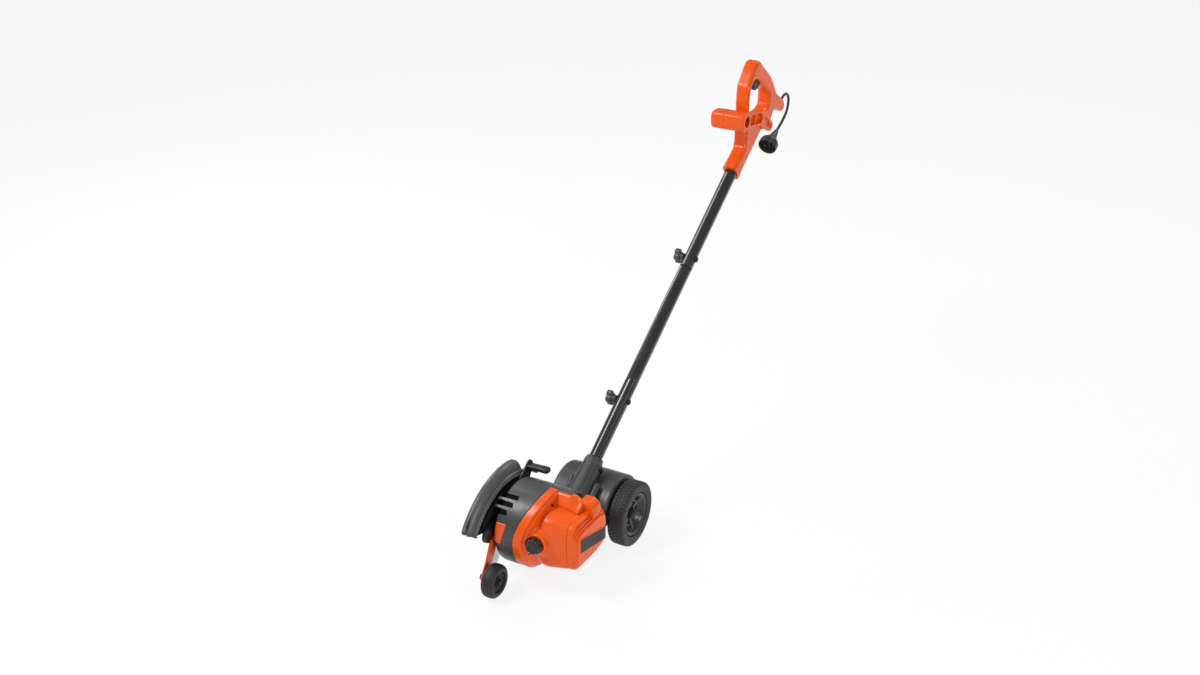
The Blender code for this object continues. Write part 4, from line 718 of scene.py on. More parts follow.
def build_tyre(word, side):
    """A tyre: a profile turned about the axle, its tread cut into four staggered rows of bricks."""
    lugs, depth = bpy.context.scene.edger_sizes.lugs, bpy.context.scene.edger_sizes.lug_depth
    half = WHEEL_W / 2
    line = [(TYRE_BORE, -half + 0.0040), (TYRE_BORE + 0.0010, -half + 0.0018), (TYRE_BORE + 0.0050, -half + 0.0008),
            (0.0590, -half), (0.0645, -half + 0.0003), (0.0684, -half + 0.0022), (WHEEL_R - 0.0002, -half + 0.0050),
            (WHEEL_R, 0.0)]
    line += [(r, -h) for r, h in line[-2::-1]]
    curve = rounded(line, 0.35, 4, shares=True)
    length = travelled(curve)
    edge = np.interp(-half + 0.0030, curve[:len(curve) // 2, 1], length[:len(curve) // 2])
    even = np.concatenate([np.linspace(0, edge, 22)[:-1], np.linspace(edge, length[-1] - edge, 76),
                           np.linspace(length[-1] - edge, length[-1], 22)[1:]])
    profile = read_at(curve, even, length)
    profile[:, 1] *= np.where(profile[:, 1] < 0, 1.10, 1.0)

    def tread(r, h, t):
        outer = ease(0.0655, 0.0680, r)
        row = np.floor(np.clip(np.abs(h) / 0.0074, 0, 1.99)) * 0.5 + np.where(h > 0, 0.25, 0.0)
        groove = window((t * lugs / (2 * np.pi) + row) % 1.0, 0.5, 0.10, 0.07)
        lines = window(h, 0.0, 0.0005, 0.0005) + window(np.abs(h), 0.0074, 0.0005, 0.0005)
        wall = 0.0005 * (window(r, 0.0630, 0.0004, 0.0004) + window(r, 0.0540, 0.0004, 0.0004))
        return r - outer * depth * np.maximum(groove, 0.8 * lines), h - np.sign(h) * wall * (np.abs(h) > half - 0.002)

    part = revolve(profile, (side * TRACK / 2, 0.0, WHEEL_R), (side, 0, 0), lugs * 12, wrap=True, relief=tread)
    piece(word + "_tyre_tread", [part], word + "_wheel", "tyre", [word + "_tyre"], angle=50.0)


def build_hub(word, side):
    """A hub: a lip, a deep conical bowl and a web whose ribs, inner ring and boss share one height function."""
    rim, edge = TYRE_BORE - SEAT, WHEEL_W / 2 - 0.0045
    front = np.concatenate([np.linspace(0.0, rim - 0.0012, 150), [rim - 0.0005, rim]])
    lift = np.concatenate([np.full(150, 1.0), [0.9, 0.6]])
    back = [(rim, -edge), (rim - 0.003, -edge), (rim - 0.004, -0.006), (0.013, -0.006), (0.012, -edge - 0.003),
            (0.0, -edge - 0.003)]
    profile = np.concatenate([np.stack([front, lift], axis=1), rounded(back, 0.001, 3)])

    def face(r, h, t):
        on_face = np.zeros_like(r)
        on_face[:len(front)] = 1.0
        spokes = bpy.context.scene.edger_sizes.spokes
        turn = (t * spokes / (2 * np.pi)) % 1.0 - 0.5
        aside = r * np.sin(turn * 2 * np.pi / spokes)
        web = -0.0038 + 0.0022 * ease(0.012, 0.028, r)
        spoke = window(aside, 0.0, 0.0030, 0.0022) * (0.0050 + 0.0030 * ease(0.024, 0.036, r))
        ring = window(r, 0.0265, 0.0012, 0.0012) * 0.0040
        boss = 0.0120 * (1 - ease(0.0100, 0.0122, r)) - 0.0016 * (1 - ease(0.0052, 0.0058, r))
        bowl = (edge + 0.0016) * ease(0.0285, 0.0432, r)
        lip = 0.0012 * window(r, 0.0446, 0.0010, 0.0008)
        top = web + np.maximum(np.maximum(spoke, ring) * ease(0.0105, 0.0135, r) * (1 - ease(0.036, 0.042, r)), boss)
        height = np.minimum(np.maximum(top, web + bowl) + lip, edge + 0.0011)
        height = height - 0.0008 * window(r, 0.0464, 0.0003, 0.0003)
        return r, np.where(on_face > 0, height * h, h)

    part = revolve(profile, (side * TRACK / 2, 0.0, WHEEL_R), (side, 0, 0), 288, relief=face)
    piece(word + "_hub_disc", [part], word + "_wheel", "hub", [word + "_hub"], angle=40.0)
    at = (side * (TRACK / 2 + 0.0078), 0.0, WHEEL_R)
    cap = rounded([(0.0, 0.0046), (0.0035, 0.0044), (0.0070, 0.0030), (0.0086, 0.0012), (0.0088, 0.0), (0.0, 0.0)],
                  0.0006, 3)
    piece(word + "_push_cap", [revolve(cap, at, (side, 0, 0), 48)], "body", "dark_steel", [word + "_axle_cap"])


def build_front_wheel():
    """The small wheel: a crowned, round-shouldered tyre with fine rings, a recessed face and a plain boss."""
    half = FRONT_W / 2
    line = [(0.0, half - 0.0075), (0.0070, half - 0.0075), (0.0078, half - 0.0035), (0.0095, half - 0.0035),
            (0.0108, half - 0.0078), (0.0205, half - 0.0070), (0.0222, half - 0.0012), (0.0240, half),
            (0.0290, half - 0.0004), (0.0340, half - 0.0045), (FRONT_R, half - 0.0095)]
    other = [(r, -h) for r, h in line[::-1]]
    curve = rounded(line + other, 0.35, 5, shares=True)
    length = travelled(curve)
    even = np.linspace(0, length[-1], 190)
    profile = read_at(curve, even, length)

    def rings(r, h, t):
        outer = ease(0.0310, 0.0335, r)
        cut = sum(window(h, s, 0.0003, 0.0004) for s in (-0.0066, -0.0022, 0.0022, 0.0066))
        nick = window((t * 9 / np.pi) % 1.0, 0.5, 0.10, 0.06) * ease(0.0085, 0.0100, np.abs(h))
        return r - outer * (0.0005 * cut + 0.0008 * nick), h

    piece("front_tyre", [revolve(profile, FRONT_AT, (1, 0, 0), 216, relief=rings)], "front_wheel", "tyre",
          ["front_wheel"], angle=40.0)
    face = FRONT_AT[0] + half
    middle = FRONT_AT[1:]
    piece("front_wheel_cap", [dome((face - 0.0036, *middle), (1, 0, 0), 0.0062, 0.0062)], "depth_arm", "dark_steel",
          ["front_wheel_bolt"])
    pin = rod(0.0040, 0.0330)
    piece("front_wheel_pin", [revolve(pin, (-0.1030, *middle), (1, 0, 0), 32)], "depth_arm", "steel")
    shoulder = rounded(rod(0.0070, 0.0070), 0.0008, 3)
    piece("front_wheel_shoulder", [revolve(shoulder, (-0.0938, *middle), (1, 0, 0), 48)], "depth_arm", "steel")


def build_depth_arm():
    """Depth lever: a plate from one outline of overlapping circles, its grip a ribbed bar, its lobe a raised boss."""
    right = LEVER_X + 0.004
    rim = (*SPINDLE, 0.0415)
    outline = blob(SPINDLE, np.concatenate([links(rim, (*LEVER_TIP, 0.0125)), links(rim, (*LEVER_FRONT, 0.016))]), 240)
    bore = circle(SPINDLE, 0.0298, 96)
    plate_part = plate(outline, LEVER_X, right, 0.0009, 3, [bore])
    ridge = plate(inset(outline, 0.0035), right - 0.0004, right + 0.0008, 0.0004, 2, [inset(outline, 0.0060)])
    lobe = plate(circle(LEVER_FRONT, 0.0149, 72), right - 0.001, -0.0939, 0.0012, 3)
    tip = np.array(LEVER_TIP)
    s = np.linspace(0, 1, 120)
    x = LEVER_X + 0.0006 + s * 0.0484
    t = np.linspace(0, 2 * np.pi, 73)[:-1]
    end = np.sqrt(np.clip(1 - ease(0.93, 1.0, s) ** 2 * 0.96, 0, 1))
    wide = (0.0122 - 0.0012 * ease(0.2, 1.0, s)) * end
    thick = (0.0052 + 0.0008 * ease(0.1, 0.6, s)) * end
    reach = 1 / squareness(t, 3)
    a, b = wide[:, None] * reach * np.cos(t), thick[:, None] * reach * np.sin(t)
    ribs = sum(window(s, m, 0.018, 0.012) for m in (0.68, 0.78, 0.88))
    b = b + 0.0011 * ribs[:, None] * ease(0.4, 0.8, np.sin(t)) * (np.abs(a) < 0.0095)
    c, d = math.cos(math.radians(-15)), math.sin(math.radians(-15))
    rings = np.stack([np.broadcast_to(x[:, None], a.shape), tip[0] + a * c - b * d, tip[1] + a * d + b * c], axis=-1)
    web = np.array([(-0.1290, 0.1925), (-0.1150, 0.1885), (-0.1170, 0.1830), (-0.1230, 0.1860)])
    gusset = plate(web, right - 0.001, right + 0.016, 0.0006, 2)
    piece("depth_lever_plate", [plate_part, ridge, lobe], "depth_arm", "black", ["depth_lever"], angle=40.0)
    piece("depth_lever_grip", [loft(rings), gusset], "depth_arm", "black", angle=45.0)

    x0 = right + SEAT
    path = links((-0.2650, 0.1000, 0.0130), (-0.2840, 0.0620, 0.0120))
    foot = links((-0.2840, 0.0620, 0.0120), (-0.3030, 0.0353, 0.0110))
    bar = blob((-0.2840, 0.0620), np.concatenate([path, foot]), 200)
    lobe_way = plate(circle(LEVER_FRONT, 0.0153, 72), x0 - 0.01, x0 + 0.02, 0.0001, 1)
    bracket = carved("bracket_strip", [plate(bar, x0, x0 + 0.0035, 0.0008, 3)], [[lobe_way]], 35.0)
    piece("bracket_strip", bracket, "depth_arm", "paint", ["wheel_bracket"])
    nut = plate(circle((-0.3030, 0.0353), 0.0075, 6), x0 - 0.0048, x0 - 0.0003, 0.0004, 2)
    piece("bracket_nut", [nut], "depth_arm", "dark_steel", ["front_wheel_nut"])


def drum_stations(grow=0.0):
    """Stations of the gear housing: nose, step out to the drum's shoulder, and the swept edge at the split."""
    s, d = SPINDLE, DRUM
    return [(-0.1052, *s, 0.0163, 2, 0, 1), (-0.1052, *s, 0.0285, 2, 0, 1), (-0.1040, *s, 0.0295, 2, 0, 1),
            (-0.0936, *s, 0.0295, 2, 0, 1), (DRUM_X, *d, 0.0660, 2, 0, 1), (DRUM_X + 0.0004, *d, 0.0740, 2, 0, 1),
            (DRUM_X + 0.0030, *d, 0.0825, 2, 0, 1), (DRUM_X + 0.0085, *d, DRUM_R, 2, 0, 1),
            (SPLIT_X - 0.0012, *d, DRUM_R, 2, SPLIT_RISE, 1), (SPLIT_X - 0.0002, *d, DRUM_R - 0.0008, 2, SPLIT_RISE, 1)]


# The slots' turns and ends, how far out they are cut, and the louvre bars' turns, half widths in degrees and ends.
VENTS, VENT_REACH = ((118.3, -0.0565), (129.8, -0.0605), (141.3, -0.0675)), (0.0700, 0.0980)
LOUVRES = ((124.0, 1.95, -0.0590), (135.5, 1.95, -0.0655))


def build_gear_housing():
    """The drum as one closed skin of sections, its shoulder cut by three slots, with louvre bars between them."""
    outer = sections(drum_stations(), 240, 0.30, 4)
    back = [(SPLIT_X - 0.0002, *DRUM, DRUM_R - 0.0030, 2, SPLIT_RISE, 1),
            (DRUM_X + 0.0080, *DRUM, DRUM_R - 0.0035, 2, 0, 1),
            (DRUM_X + 0.0040, *DRUM, 0.0760, 2, 0, 1), (DRUM_X + 0.0034, *SPINDLE, 0.0300, 2, 0, 1),
            (DRUM_X + 0.0030, *SPINDLE, 0.0163, 2, 0, 1)]
    rings = np.concatenate([outer, sections(back, 240, 0.2, 3)])
    slots = []
    for angle, end in VENTS:
        t = math.radians(angle)
        way, side = heading_at(t)
        shape = rounded([(DRUM_X - 0.006, -0.0053), (end - 0.0030, -0.0053), (end, 0.0053), (DRUM_X - 0.006, 0.0053)],
                        [0.0005, 0.0022, 0.0022, 0.0005], 5, True)

        def place(p, way=way, side=side):
            """Out along the radius, across along the tangent, and the slot's length along X."""
            out, along, across = p[:, 0], p[:, 1], p[:, 2]
            yz = np.array(DRUM) + out[:, None] * way + across[:, None] * side
            return np.concatenate([along[:, None], yz], axis=1)

        slots.append([plate(shape, *VENT_REACH, 0.0003, 1, place=place)])
        if len(slots) == 2:  # the middle slot opens on a notch across the shoulder
            corners = [(DRUM_X - 0.006, -0.0235), (-0.0862, -0.0235), (-0.0862, 0.0235), (DRUM_X - 0.006, 0.0235)]
            open_end = rounded(corners, 0.0006, 3, True)
            slots.append([plate(open_end, *VENT_REACH, 0.0003, 1, place=place)])
    mesh = carved("drum_skin", [loft(rings, wrap=True)], slots, 30.0)
    piece("drum_skin", mesh, "body", "dark", ["gear_housing"])
    for index, (angle, half, end) in enumerate(LOUVRES):
        share, turn = np.linspace(0, 1, 60)[:, None], np.linspace(-1, 1, 30)[None, :]
        x = -0.1028 * (1 - share) + (end + 0.0030 * turn) * share
        edge = (1 - window(turn, 0.0, 0.70, 0.30)) + ease(0.95, 1.0, share) + 0.7 * (1 - ease(0.0, 0.05, share))
        reach = 0.0873 - 0.0012 * edge - 0.0030 * (1 - ease(0.0, 0.30, share))
        grid = turned_about(DRUM, x, reach, np.radians(angle + half * turn))
        # The bars take the lighter charcoal, a painted highlight on the housing's own plastic.
        piece("louvre_bar_%d" % (index + 1), [shell(grid, -0.0050)], "body", "louvre")
    # A near-black sheet under the slots, standing in for the shade inside them: painted shade.
    t = np.radians(np.linspace(109, 151, 60))[None, :]
    x = np.linspace(DRUM_X + 0.0006, -0.0520, 40)[:, None]
    reach = np.interp(x, [DRUM_X, DRUM_X + 0.0030, DRUM_X + 0.0085, -0.0520], [0.0690, 0.0765, 0.0815, 0.0820])
    grid = turned_about(DRUM, x, reach, t)
    piece("vent_shade_sheet", [shell(grid, 0.0012)], "body", "void")
    share = np.linspace(0, 1, 40)[:, None]
    turn = np.linspace(0, 1, 60)[None, :]
    t = np.radians(156.3 + 28.6 * turn)
    x = (-0.0640 - 0.0105 * turn) * (1 - share) + (-0.0868 - 0.0048 * turn) * share
    reach = np.interp(x, [-0.0922, -0.0905, -0.0885, -0.0865, -0.0845, -0.08],
                      [0.0778, 0.0812, 0.0840, 0.0859, 0.0868, 0.0870])
    film = window(share, 0.5, 0.47, 0.03) * window(turn, 0.5, 0.475, 0.025)
    reach = reach - 0.0002 + 0.0007 * film
    grid = turned_about(DRUM, x, reach, t)
    piece("side_label", [shell(grid, -0.0006)], "body", "label")


COVER_STATIONS = [
    (SPLIT_X + SEAT, *DRUM, DRUM_R - 0.0010, 2.0, SPLIT_RISE, 1), (SPLIT_X + 0.0014, *DRUM, DRUM_R, 2.0, SPLIT_RISE, 1),
    (-0.0292, *DRUM, 0.0868, 2.0, 0.0295, 1), (-0.0276, *DRUM, 0.0858, 2.0, 0.0290, 1),
    (-0.0268, *DRUM, 0.0826, 2.0, 0.0280, 1), (-0.0235, *DRUM, 0.0820, 2.0, 0.0262, 1),
    (-0.0200, *DRUM, 0.0806, 2.0, 0.0245, 1), (-0.0186, *DRUM, 0.0784, 2.0, 0.0232, 1),
    (-0.0150, *BARREL, 0.0690, 2.05, 0.0190, 1), (-0.0110, *BARREL, 0.0640, 2.15, 0.0150, 1),
    (-0.0030, *BARREL, 0.0604, 2.4, 0.0095, 1), (0.0006, *BARREL, 0.0606, 3.6, 0.0075, 1),
    (0.0030, *BARREL, 0.0611, 4.6, 0.0062, 1), (0.0060, *BARREL, 0.0606, 4.9, 0.0050, 1.005),
    (0.0180, *BARREL, 0.0598, 5.2, 0.0020, 1.015), (0.0560, *BARREL_END, 0.0545, 5.4, 0.0, 1.105),
    (0.0578, *BARREL_END, 0.0533, 5.4, 0.0, 1.105)]
COVER_SCREWS, SCREW_SINK = ((-0.0165, -0.2640, 0.1395), (-0.0165, -0.2610, 0.0905), (0.0060, -0.2040, 0.1830)), 0.0014


def build_motor_cover():
    """The orange cover: a swept flange in two steps, a valley behind it, and a square barrel that tapers."""
    outer = sections(COVER_STATIONS, 320, 0.30, 4)
    ramp = -0.2662 + np.clip((outer[..., 0] + 0.0200) / 0.0460, 0, 1) * 0.0200
    near = window(outer[..., 2], 0.1160, 0.0150, 0.0190) * (outer[..., 0] > -0.0205) * ease(0.034, 0.024, outer[..., 0])
    outer[..., 1] += near * np.minimum(ramp - outer[..., 1], 0) * (outer[..., 1] < -0.21)
    inner = [(0.0578, *BARREL_END, 0.0500, 5.0, 0.0, 1.105), (0.0100, *BARREL, 0.0560, 4.6, 0.0, 1.0),
             (-0.0080, *BARREL, 0.0570, 2.4, 0.004, 1.0), (-0.0260, *DRUM, 0.0770, 2.0, 0.022, 1.0),
             (SPLIT_X + SEAT, *DRUM, DRUM_R - 0.0032, 2.0, SPLIT_RISE, 1)]
    rings = np.concatenate([outer, sections(inner, 320, 0.25, 3)])
    knob = (KNOB_X, KNOB_Z)

    def front(p):
        """Plates drawn in (X, Z) and stacked along -Y."""
        return np.stack([p[:, 1], -p[:, 0], p[:, 2]], axis=1)

    pocket = plate(circle(knob, 0.0192, 96), 0.2586, 0.3000, 0.0002, 1, place=front)
    mesh = carved("cover_skin", [loft(rings, wrap=True)], [[pocket]], 30.0)
    piece("cover_skin", mesh, "body", "orange", ["motor_cover"])
    pad = rounded([(0.0, 0.2582), (0.0186, 0.2582), (0.0190, 0.2592), (0.0202, 0.2592), (0.0218, 0.2565),
                   (0.0232, 0.2500), (0.0240, 0.2420), (0.0, 0.2420)],
                  [0, 0.0003, 0.0004, 0.001, 0.002, 0.002, 0.0005, 0], 5)
    piece("knob_pad", [revolve(pad, (knob[0], 0.0, knob[1]), (0, -1, 0), 96)], "body", "orange")
    ridge = rounded([(-0.1930, 0.1650), (-0.1925, 0.1765), (-0.1900, 0.1800), (-0.1775, 0.1960), (-0.1690, 0.1972),
                     (-0.1560, 0.1900), (-0.1500, 0.1800), (-0.1500, 0.1600)],
                    [0.001, 0.002, 0.002, 0.004, 0.004, 0.005, 0.003, 0.001], 6, True)

    def slope(p):
        """Its right end comes down to the block, and its left end runs into the flange."""
        fall = 0.0110 * ease(0.030, 0.052, p[:, 0]) + 0.0012 * ease(0.004, -0.018, p[:, 0])
        fall = fall * ease(0.168, 0.190, p[:, 2])
        return np.stack([p[:, 0], p[:, 1], p[:, 2] - fall], axis=1)

    cross = np.concatenate([[-0.0190], np.linspace(-0.0180, 0.0553, 40), [0.0568]])
    shrink = np.concatenate([[0.0008], np.zeros(40), [0.0015]])
    rows = np.stack([inset(counter_clockwise(ridge), d) for d in shrink])
    x = np.broadcast_to(cross[:, None, None], (*rows.shape[:2], 1))
    skin = np.concatenate([x, rows], axis=2)
    piece("cover_ridge", [loft(slope(skin.reshape(-1, 3)).reshape(skin.shape))], "body", "orange")
    line = rounded([(0.0400, 0.1480), (0.0430, 0.1790), (0.0480, 0.1850), (0.0660, 0.1850), (0.0778, 0.1765),
                    (0.0806, 0.1600), (0.0770, 0.1480)], [0.001, 0.003, 0.003, 0.003, 0.004, 0.003, 0.001], 6, True)

    def side(p):
        """Plates drawn in (X, Z) and stacked along +Y."""
        return np.stack([p[:, 1], p[:, 0], p[:, 2]], axis=1)

    piece("cover_block", [plate(line, -0.1720, -0.1400, 0.0026, 4, place=side)], "body", "orange")
    t = np.radians(np.linspace(20.0, 81.5, 70))
    across = np.linspace(-0.0500, 0.0340, 30)
    at_ends = 0.0024 * (1 - window(np.linspace(-1, 1, 70), 0, 0.965, 0.035))
    roll = 0.0030 * ease(0.0290, 0.0340, across)[:, None] + at_ends[None, :]
    reach = DRUM_R + 0.0004 - roll
    saddle = turned_about(DRUM, across[:, None], reach, t)
    piece("rear_saddle", [shell(saddle, -0.0260)], "body", "dark")
    for at in COVER_SCREWS:
        place_screw(at)


def place_screw(at):
    """A small plain pan head, set a little into the cover along a line from the barrel's middle."""
    q = rounded([(0.0, 0.0008), (0.0016, 0.0007), (0.0024, 0.0), (0.0024, -0.0030), (0.0, -0.0030)], 0.0004, 3)
    name = "cover_screw_%d" % (1 + sum(o.name.startswith("cover_screw_") for o in bpy.data.objects))
    centre = np.array((at[0], *BARREL))
    axis = unit(np.array(at) - centre)
    at = np.array(at) - axis * SCREW_SINK
    piece(name, [revolve(q, at, axis, 32)], "body", "dark_steel")


def build_end_cap():
    """The end cap: sides that taper smoothly, and an end that rises in three bands above and below its panel."""
    heights = [(SEAM_X + SEAT, 0.0534), (SEAM_X + 0.0010, 0.0546), (0.0685, 0.0538), (0.0706, 0.0528), (0.0714, 0.0512),
               (0.0714, 0.0482), (0.0700, 0.0474), (0.0704, 0.0460), (0.0744, 0.0454), (0.0750, 0.0446),
               (0.0750, 0.0424), (0.0736, 0.0416), (0.0740, 0.0404), (0.0780, 0.0399), (0.0785, 0.0391),
               (0.0785, 0.0368), (0.0771, 0.0360), (0.0775, 0.0350), (0.0812, 0.0345), (END_X, 0.0336),
               (END_X, 0.0200)]
    line = rounded(heights, 0.25, 3, shares=True)
    x, half = line[:, 0], line[:, 1]
    sides = np.interp(np.maximum.accumulate(x), [SEAM_X + SEAT, SEAM_X + 0.0010, 0.0690, 0.0760, 0.0806, END_X],
                      [0.0590, 0.0603, 0.0594, 0.0580, 0.0562, 0.0545]) * np.clip(half / 0.0330, 0, 1)
    t = np.arange(320) * 2 * np.pi / 320
    reach = 1 / squareness(t, 5)
    rings = np.stack([np.broadcast_to(x[:, None], (len(x), 320)), BARREL_END[0] + sides[:, None] * reach * np.cos(t),
                      BARREL_END[1] + half[:, None] * reach * np.sin(t)], axis=-1)
    piece("end_cap_skin", [loft(np.concatenate([[rings[0] * 0 + rings[0].mean(0)], rings]))], "body", "orange",
          ["motor_end_cap"], angle=38.0)
    path = rounded([(0.0826, -0.2285), (0.0826, -0.1330), (0.0815, -0.1262), (0.0750, -0.1225), (0.0712, -0.1216)],
                   [0, 0.010, 0.003, 0.004, 0], 10)
    length = travelled(path)
    even = np.linspace(0, length[-1], 90)
    x, y = read_at(path, even, length).T
    top = np.interp(y, [-0.2285, -0.1216], [0.1385, 0.1135])
    bottom = np.interp(y, [-0.2285, -0.1216], [0.1050, 0.0835])
    away = unit(np.stack([np.gradient(y), -np.gradient(x)], axis=1))
    for name, look, lap, depth in (("panel_frame", "orange", -0.0006, 0.0006),
                                   ("plain_panel", "panel", 0.0014, 0.0013)):
        share = np.linspace(0, 1, 40)
        low, high = bottom + lap, top - lap
        keep = (even > lap * 1.2) & (even < length[-1] - (0.0 if lap > 0 else 0.0020))
        z = (low[:, None] * (1 - share) + high[:, None] * share)[keep]
        edge = window(share, 0.5, 0.485, 0.015)[None, :] * window(np.linspace(0, 1, 90), 0.5, 0.492, 0.008)[:, None]
        out = (depth * edge)[keep]
        grid = np.stack([x[keep][:, None] + away[keep][:, :1] * out, y[keep][:, None] + away[keep][:, 1:] * out, z], -1)
        stands = ["end_panel"] if name == "plain_panel" else []
        piece(name, [shell(grid, 0.0016)], "body", look, stands, angle=45.0)


def build_clamp_knob():
    """A lobed knob: its radius falls by a raised cosine eight times a turn, its face dished inside a round rim."""
    line = rounded([(0.0, 0.0128), (0.0090, 0.0128), (0.0115, 0.0150), (0.0150, 0.0147), (0.0175, 0.0125),
                    (0.0175, 0.0015), (0.0168, 0.0003), (0.0, 0.0003)],
                   [0, 0.002, 0.002, 0.002, 0.002, 0.001, 0.0005, 0], 5)
    profile = read_at(line, np.linspace(0, 1, 90))

    def lobes(r, h, t):
        return r - 0.0019 * ease(0.0100, 0.0150, r) * (0.5 - 0.5 * np.cos(8 * t)) ** 2, h

    at = (KNOB_X, -0.2585, KNOB_Z)
    piece("lobed_knob", [revolve(profile, at, (0, -1, 0), 160, relief=lobes)], "clamp_knob", "black", ["clamp_knob"],
          angle=40.0)


RIM_X, RIM_CENTRE, RIM_R = -0.132, np.array((-0.1766, 0.0345)), 0.1815
EDGE_X, EDGE_CENTRE, EDGE_R = -0.1035, np.array((-0.190, 0.052)), 0.1460


def build_hood():
    """The blade hood: ruled between a rim arc and an edge arc, crowned, stepped at its edge, on a flat side plate."""
    rows = 150
    u = np.linspace(0, 1, rows)
    rim_t, edge_t = np.radians(80 + 63 * u), np.radians(66 + 80 * u)
    rim = turned_about(RIM_CENTRE, RIM_X, RIM_R, rim_t)
    edge = turned_about(EDGE_CENTRE, EDGE_X, EDGE_R, edge_t)
    hub = np.array((-0.1055, *SPINDLE))
    inward = hub - edge
    inward[:, 0] = 0.0
    inward = unit(inward)
    v = np.linspace(0, 1, 60)
    swell = 0.0085 * np.sin(np.pi * np.clip(v / 0.78, 0, 1)) ** 0.7 + 0.0030 * window(v, 0.87, 0.04, 0.07)
    groove = 0.0006 * window(v, 0.71, 0.02, 0.06) - 0.0006 * window(v, 0.035, 0.02, 0.02)
    spread = 0.015 + 0.075 * ease(0.80, 1.0, u)[:, None]
    notch = 0.0085 * ease(0.80, 0.90, u)[:, None] * np.clip(1 - np.abs(v[None, :] - 0.37) / spread, 0, 1) ** 0.7
    tip = 0.0016 * ease(0.950, 0.962, u)[:, None] * window(v, 0.5, 0.40, 0.06)[None, :]
    out = swell[None, :] - groove[None, :] - notch + tip
    band = rim[:, None] * (1 - v[None, :, None]) + edge[:, None] * v[None, :, None] - inward[:, None] * out[..., None]
    lip = rim[:, None] + inward[:, None] * np.array((0.0042, 0.0020))[None, :, None]
    fall = np.array((0.0015, 0.0040))
    step = edge[:, None] + inward[:, None] * fall[None, :, None]
    step[..., 0] = np.array((EDGE_X - 0.0004, hub[0]))[None, :]
    reach = np.linspace(0.006, 1.0, 12)[None, :, None]
    collar = hub - inward * 0.030
    collar[:, 0] = hub[0]
    foot = edge + inward * 0.0050
    foot[:, 0] = hub[0]
    plate_grid = foot[:, None] * (1 - reach) + collar[:, None] * reach
    grid = np.concatenate([lip, band, step, plate_grid], axis=1)
    ends = []
    for turn in (0.5, 1.0):
        q = turn * np.pi / 2
        pull = 0.0050 * np.sin(q)
        last = grid[-1:].copy()
        sink = np.concatenate([np.zeros(2), np.ones(60), np.zeros(14)])[None, :, None]
        last += sink * (unit(grid[-1] - grid[-4])[None] * pull + inward[-1] * 0.0052 * (1 - np.cos(q)))
        ends.append(last)
    piece("hood_shell", [shell(np.concatenate([grid, *ends])[:, :66], 0.0024)], "body", "hood", ["blade_guard"],
          angle=38.0)
    # The hood's side plate takes the black finish, darker than the hood: painted shade where it sits in shadow.
    piece("hood_wall_painted_shade", [shell(grid[:, 64:], 0.0024)], "body", "black", angle=38.0)
    low = band[-1, 4] + inward[-1] * 0.004
    nub = revolve(rounded([(0.0, 0.0), (0.0052, 0.0), (0.0058, 0.004), (0.0050, 0.012), (0.0, 0.0125)], 0.0015, 4),
                  low + np.array((0.0036, 0.0035, -0.0040)), (0.15, -0.35, 0.92), 40)
    piece("hood_nub", [nub], "body", "hood")


FENDER_R = 0.0735


def build_deck():
    """The deck: a lid bent over the axle and along the apron, side walls under it, and a sheet over the left wheel."""
    arc = circle((0.0, WHEEL_R), FENDER_R, 90, 152, -164)
    apron = rounded([(-0.1500, 0.0680), (-0.1500, 0.1000), (-0.0900, 0.1015), arc[0]], [0, 0.006, 0.02, 0], 6)
    line = np.concatenate([apron, arc[1:], [(0.0560, 0.0520)]])
    heading = unit(np.gradient(line, axis=0))
    out = np.stack([-heading[:, 1], heading[:, 0]], axis=1)
    out *= np.sign(np.sum(out[60:61] * (line[60:61] - np.array((0.0, WHEEL_R)))))
    q = np.linspace(0, np.pi / 2, 7)
    side = np.concatenate([[-0.0500], -0.0500 + 0.0014 * (1 - np.cos(q)), np.linspace(-0.047, 0.043, 26),
                           0.0460 - 0.0014 * (1 - np.cos(q))[::-1], [0.0460]])
    drop = np.concatenate([[0.0080], 0.0014 * (1 - np.sin(q)), np.zeros(26), 0.0014 * (1 - np.sin(q))[::-1], [0.0080]])
    bead = 0.0005 * (window(side, -0.0440, 0.0006, 0.0006) + window(side, 0.0400, 0.0006, 0.0006))
    drop = drop + bead
    grid = np.stack([np.broadcast_to(side[None, :], (len(line), len(side))),
                     line[:, :1] - out[:, :1] * drop[None, :], line[:, 1:] - out[:, 1:] * drop[None, :]], -1)
    piece("deck_lid", [shell(grid, 0.0024)], "body", "deck", ["rear_deck"], angle=40.0)
    wall = np.concatenate([line, [(0.0400, 0.0500), (-0.0900, 0.0580)]])
    wall = inset(counter_clockwise(wall), 0.0045)
    for word, x in (("left", -0.0492), ("right", 0.0428)):
        piece("deck_wall_" + word, [plate(wall, x, x + 0.0026, 0.0005, 2)], "body", "deck")
    x = np.linspace(-0.0835, -0.0485, 24)
    roll = 0.0020 * (1 - ease(-0.0835, -0.0800, x)) ** 2
    reach = FENDER_R - 0.0002 - roll
    t = np.radians(np.linspace(152, -12, 90))
    left = turned_about((0.0, WHEEL_R), x[None, :], reach[None, :], t[:, None])
    piece("fender_left", [shell(left, 0.0018)], "body", "deck")
    build_socket()


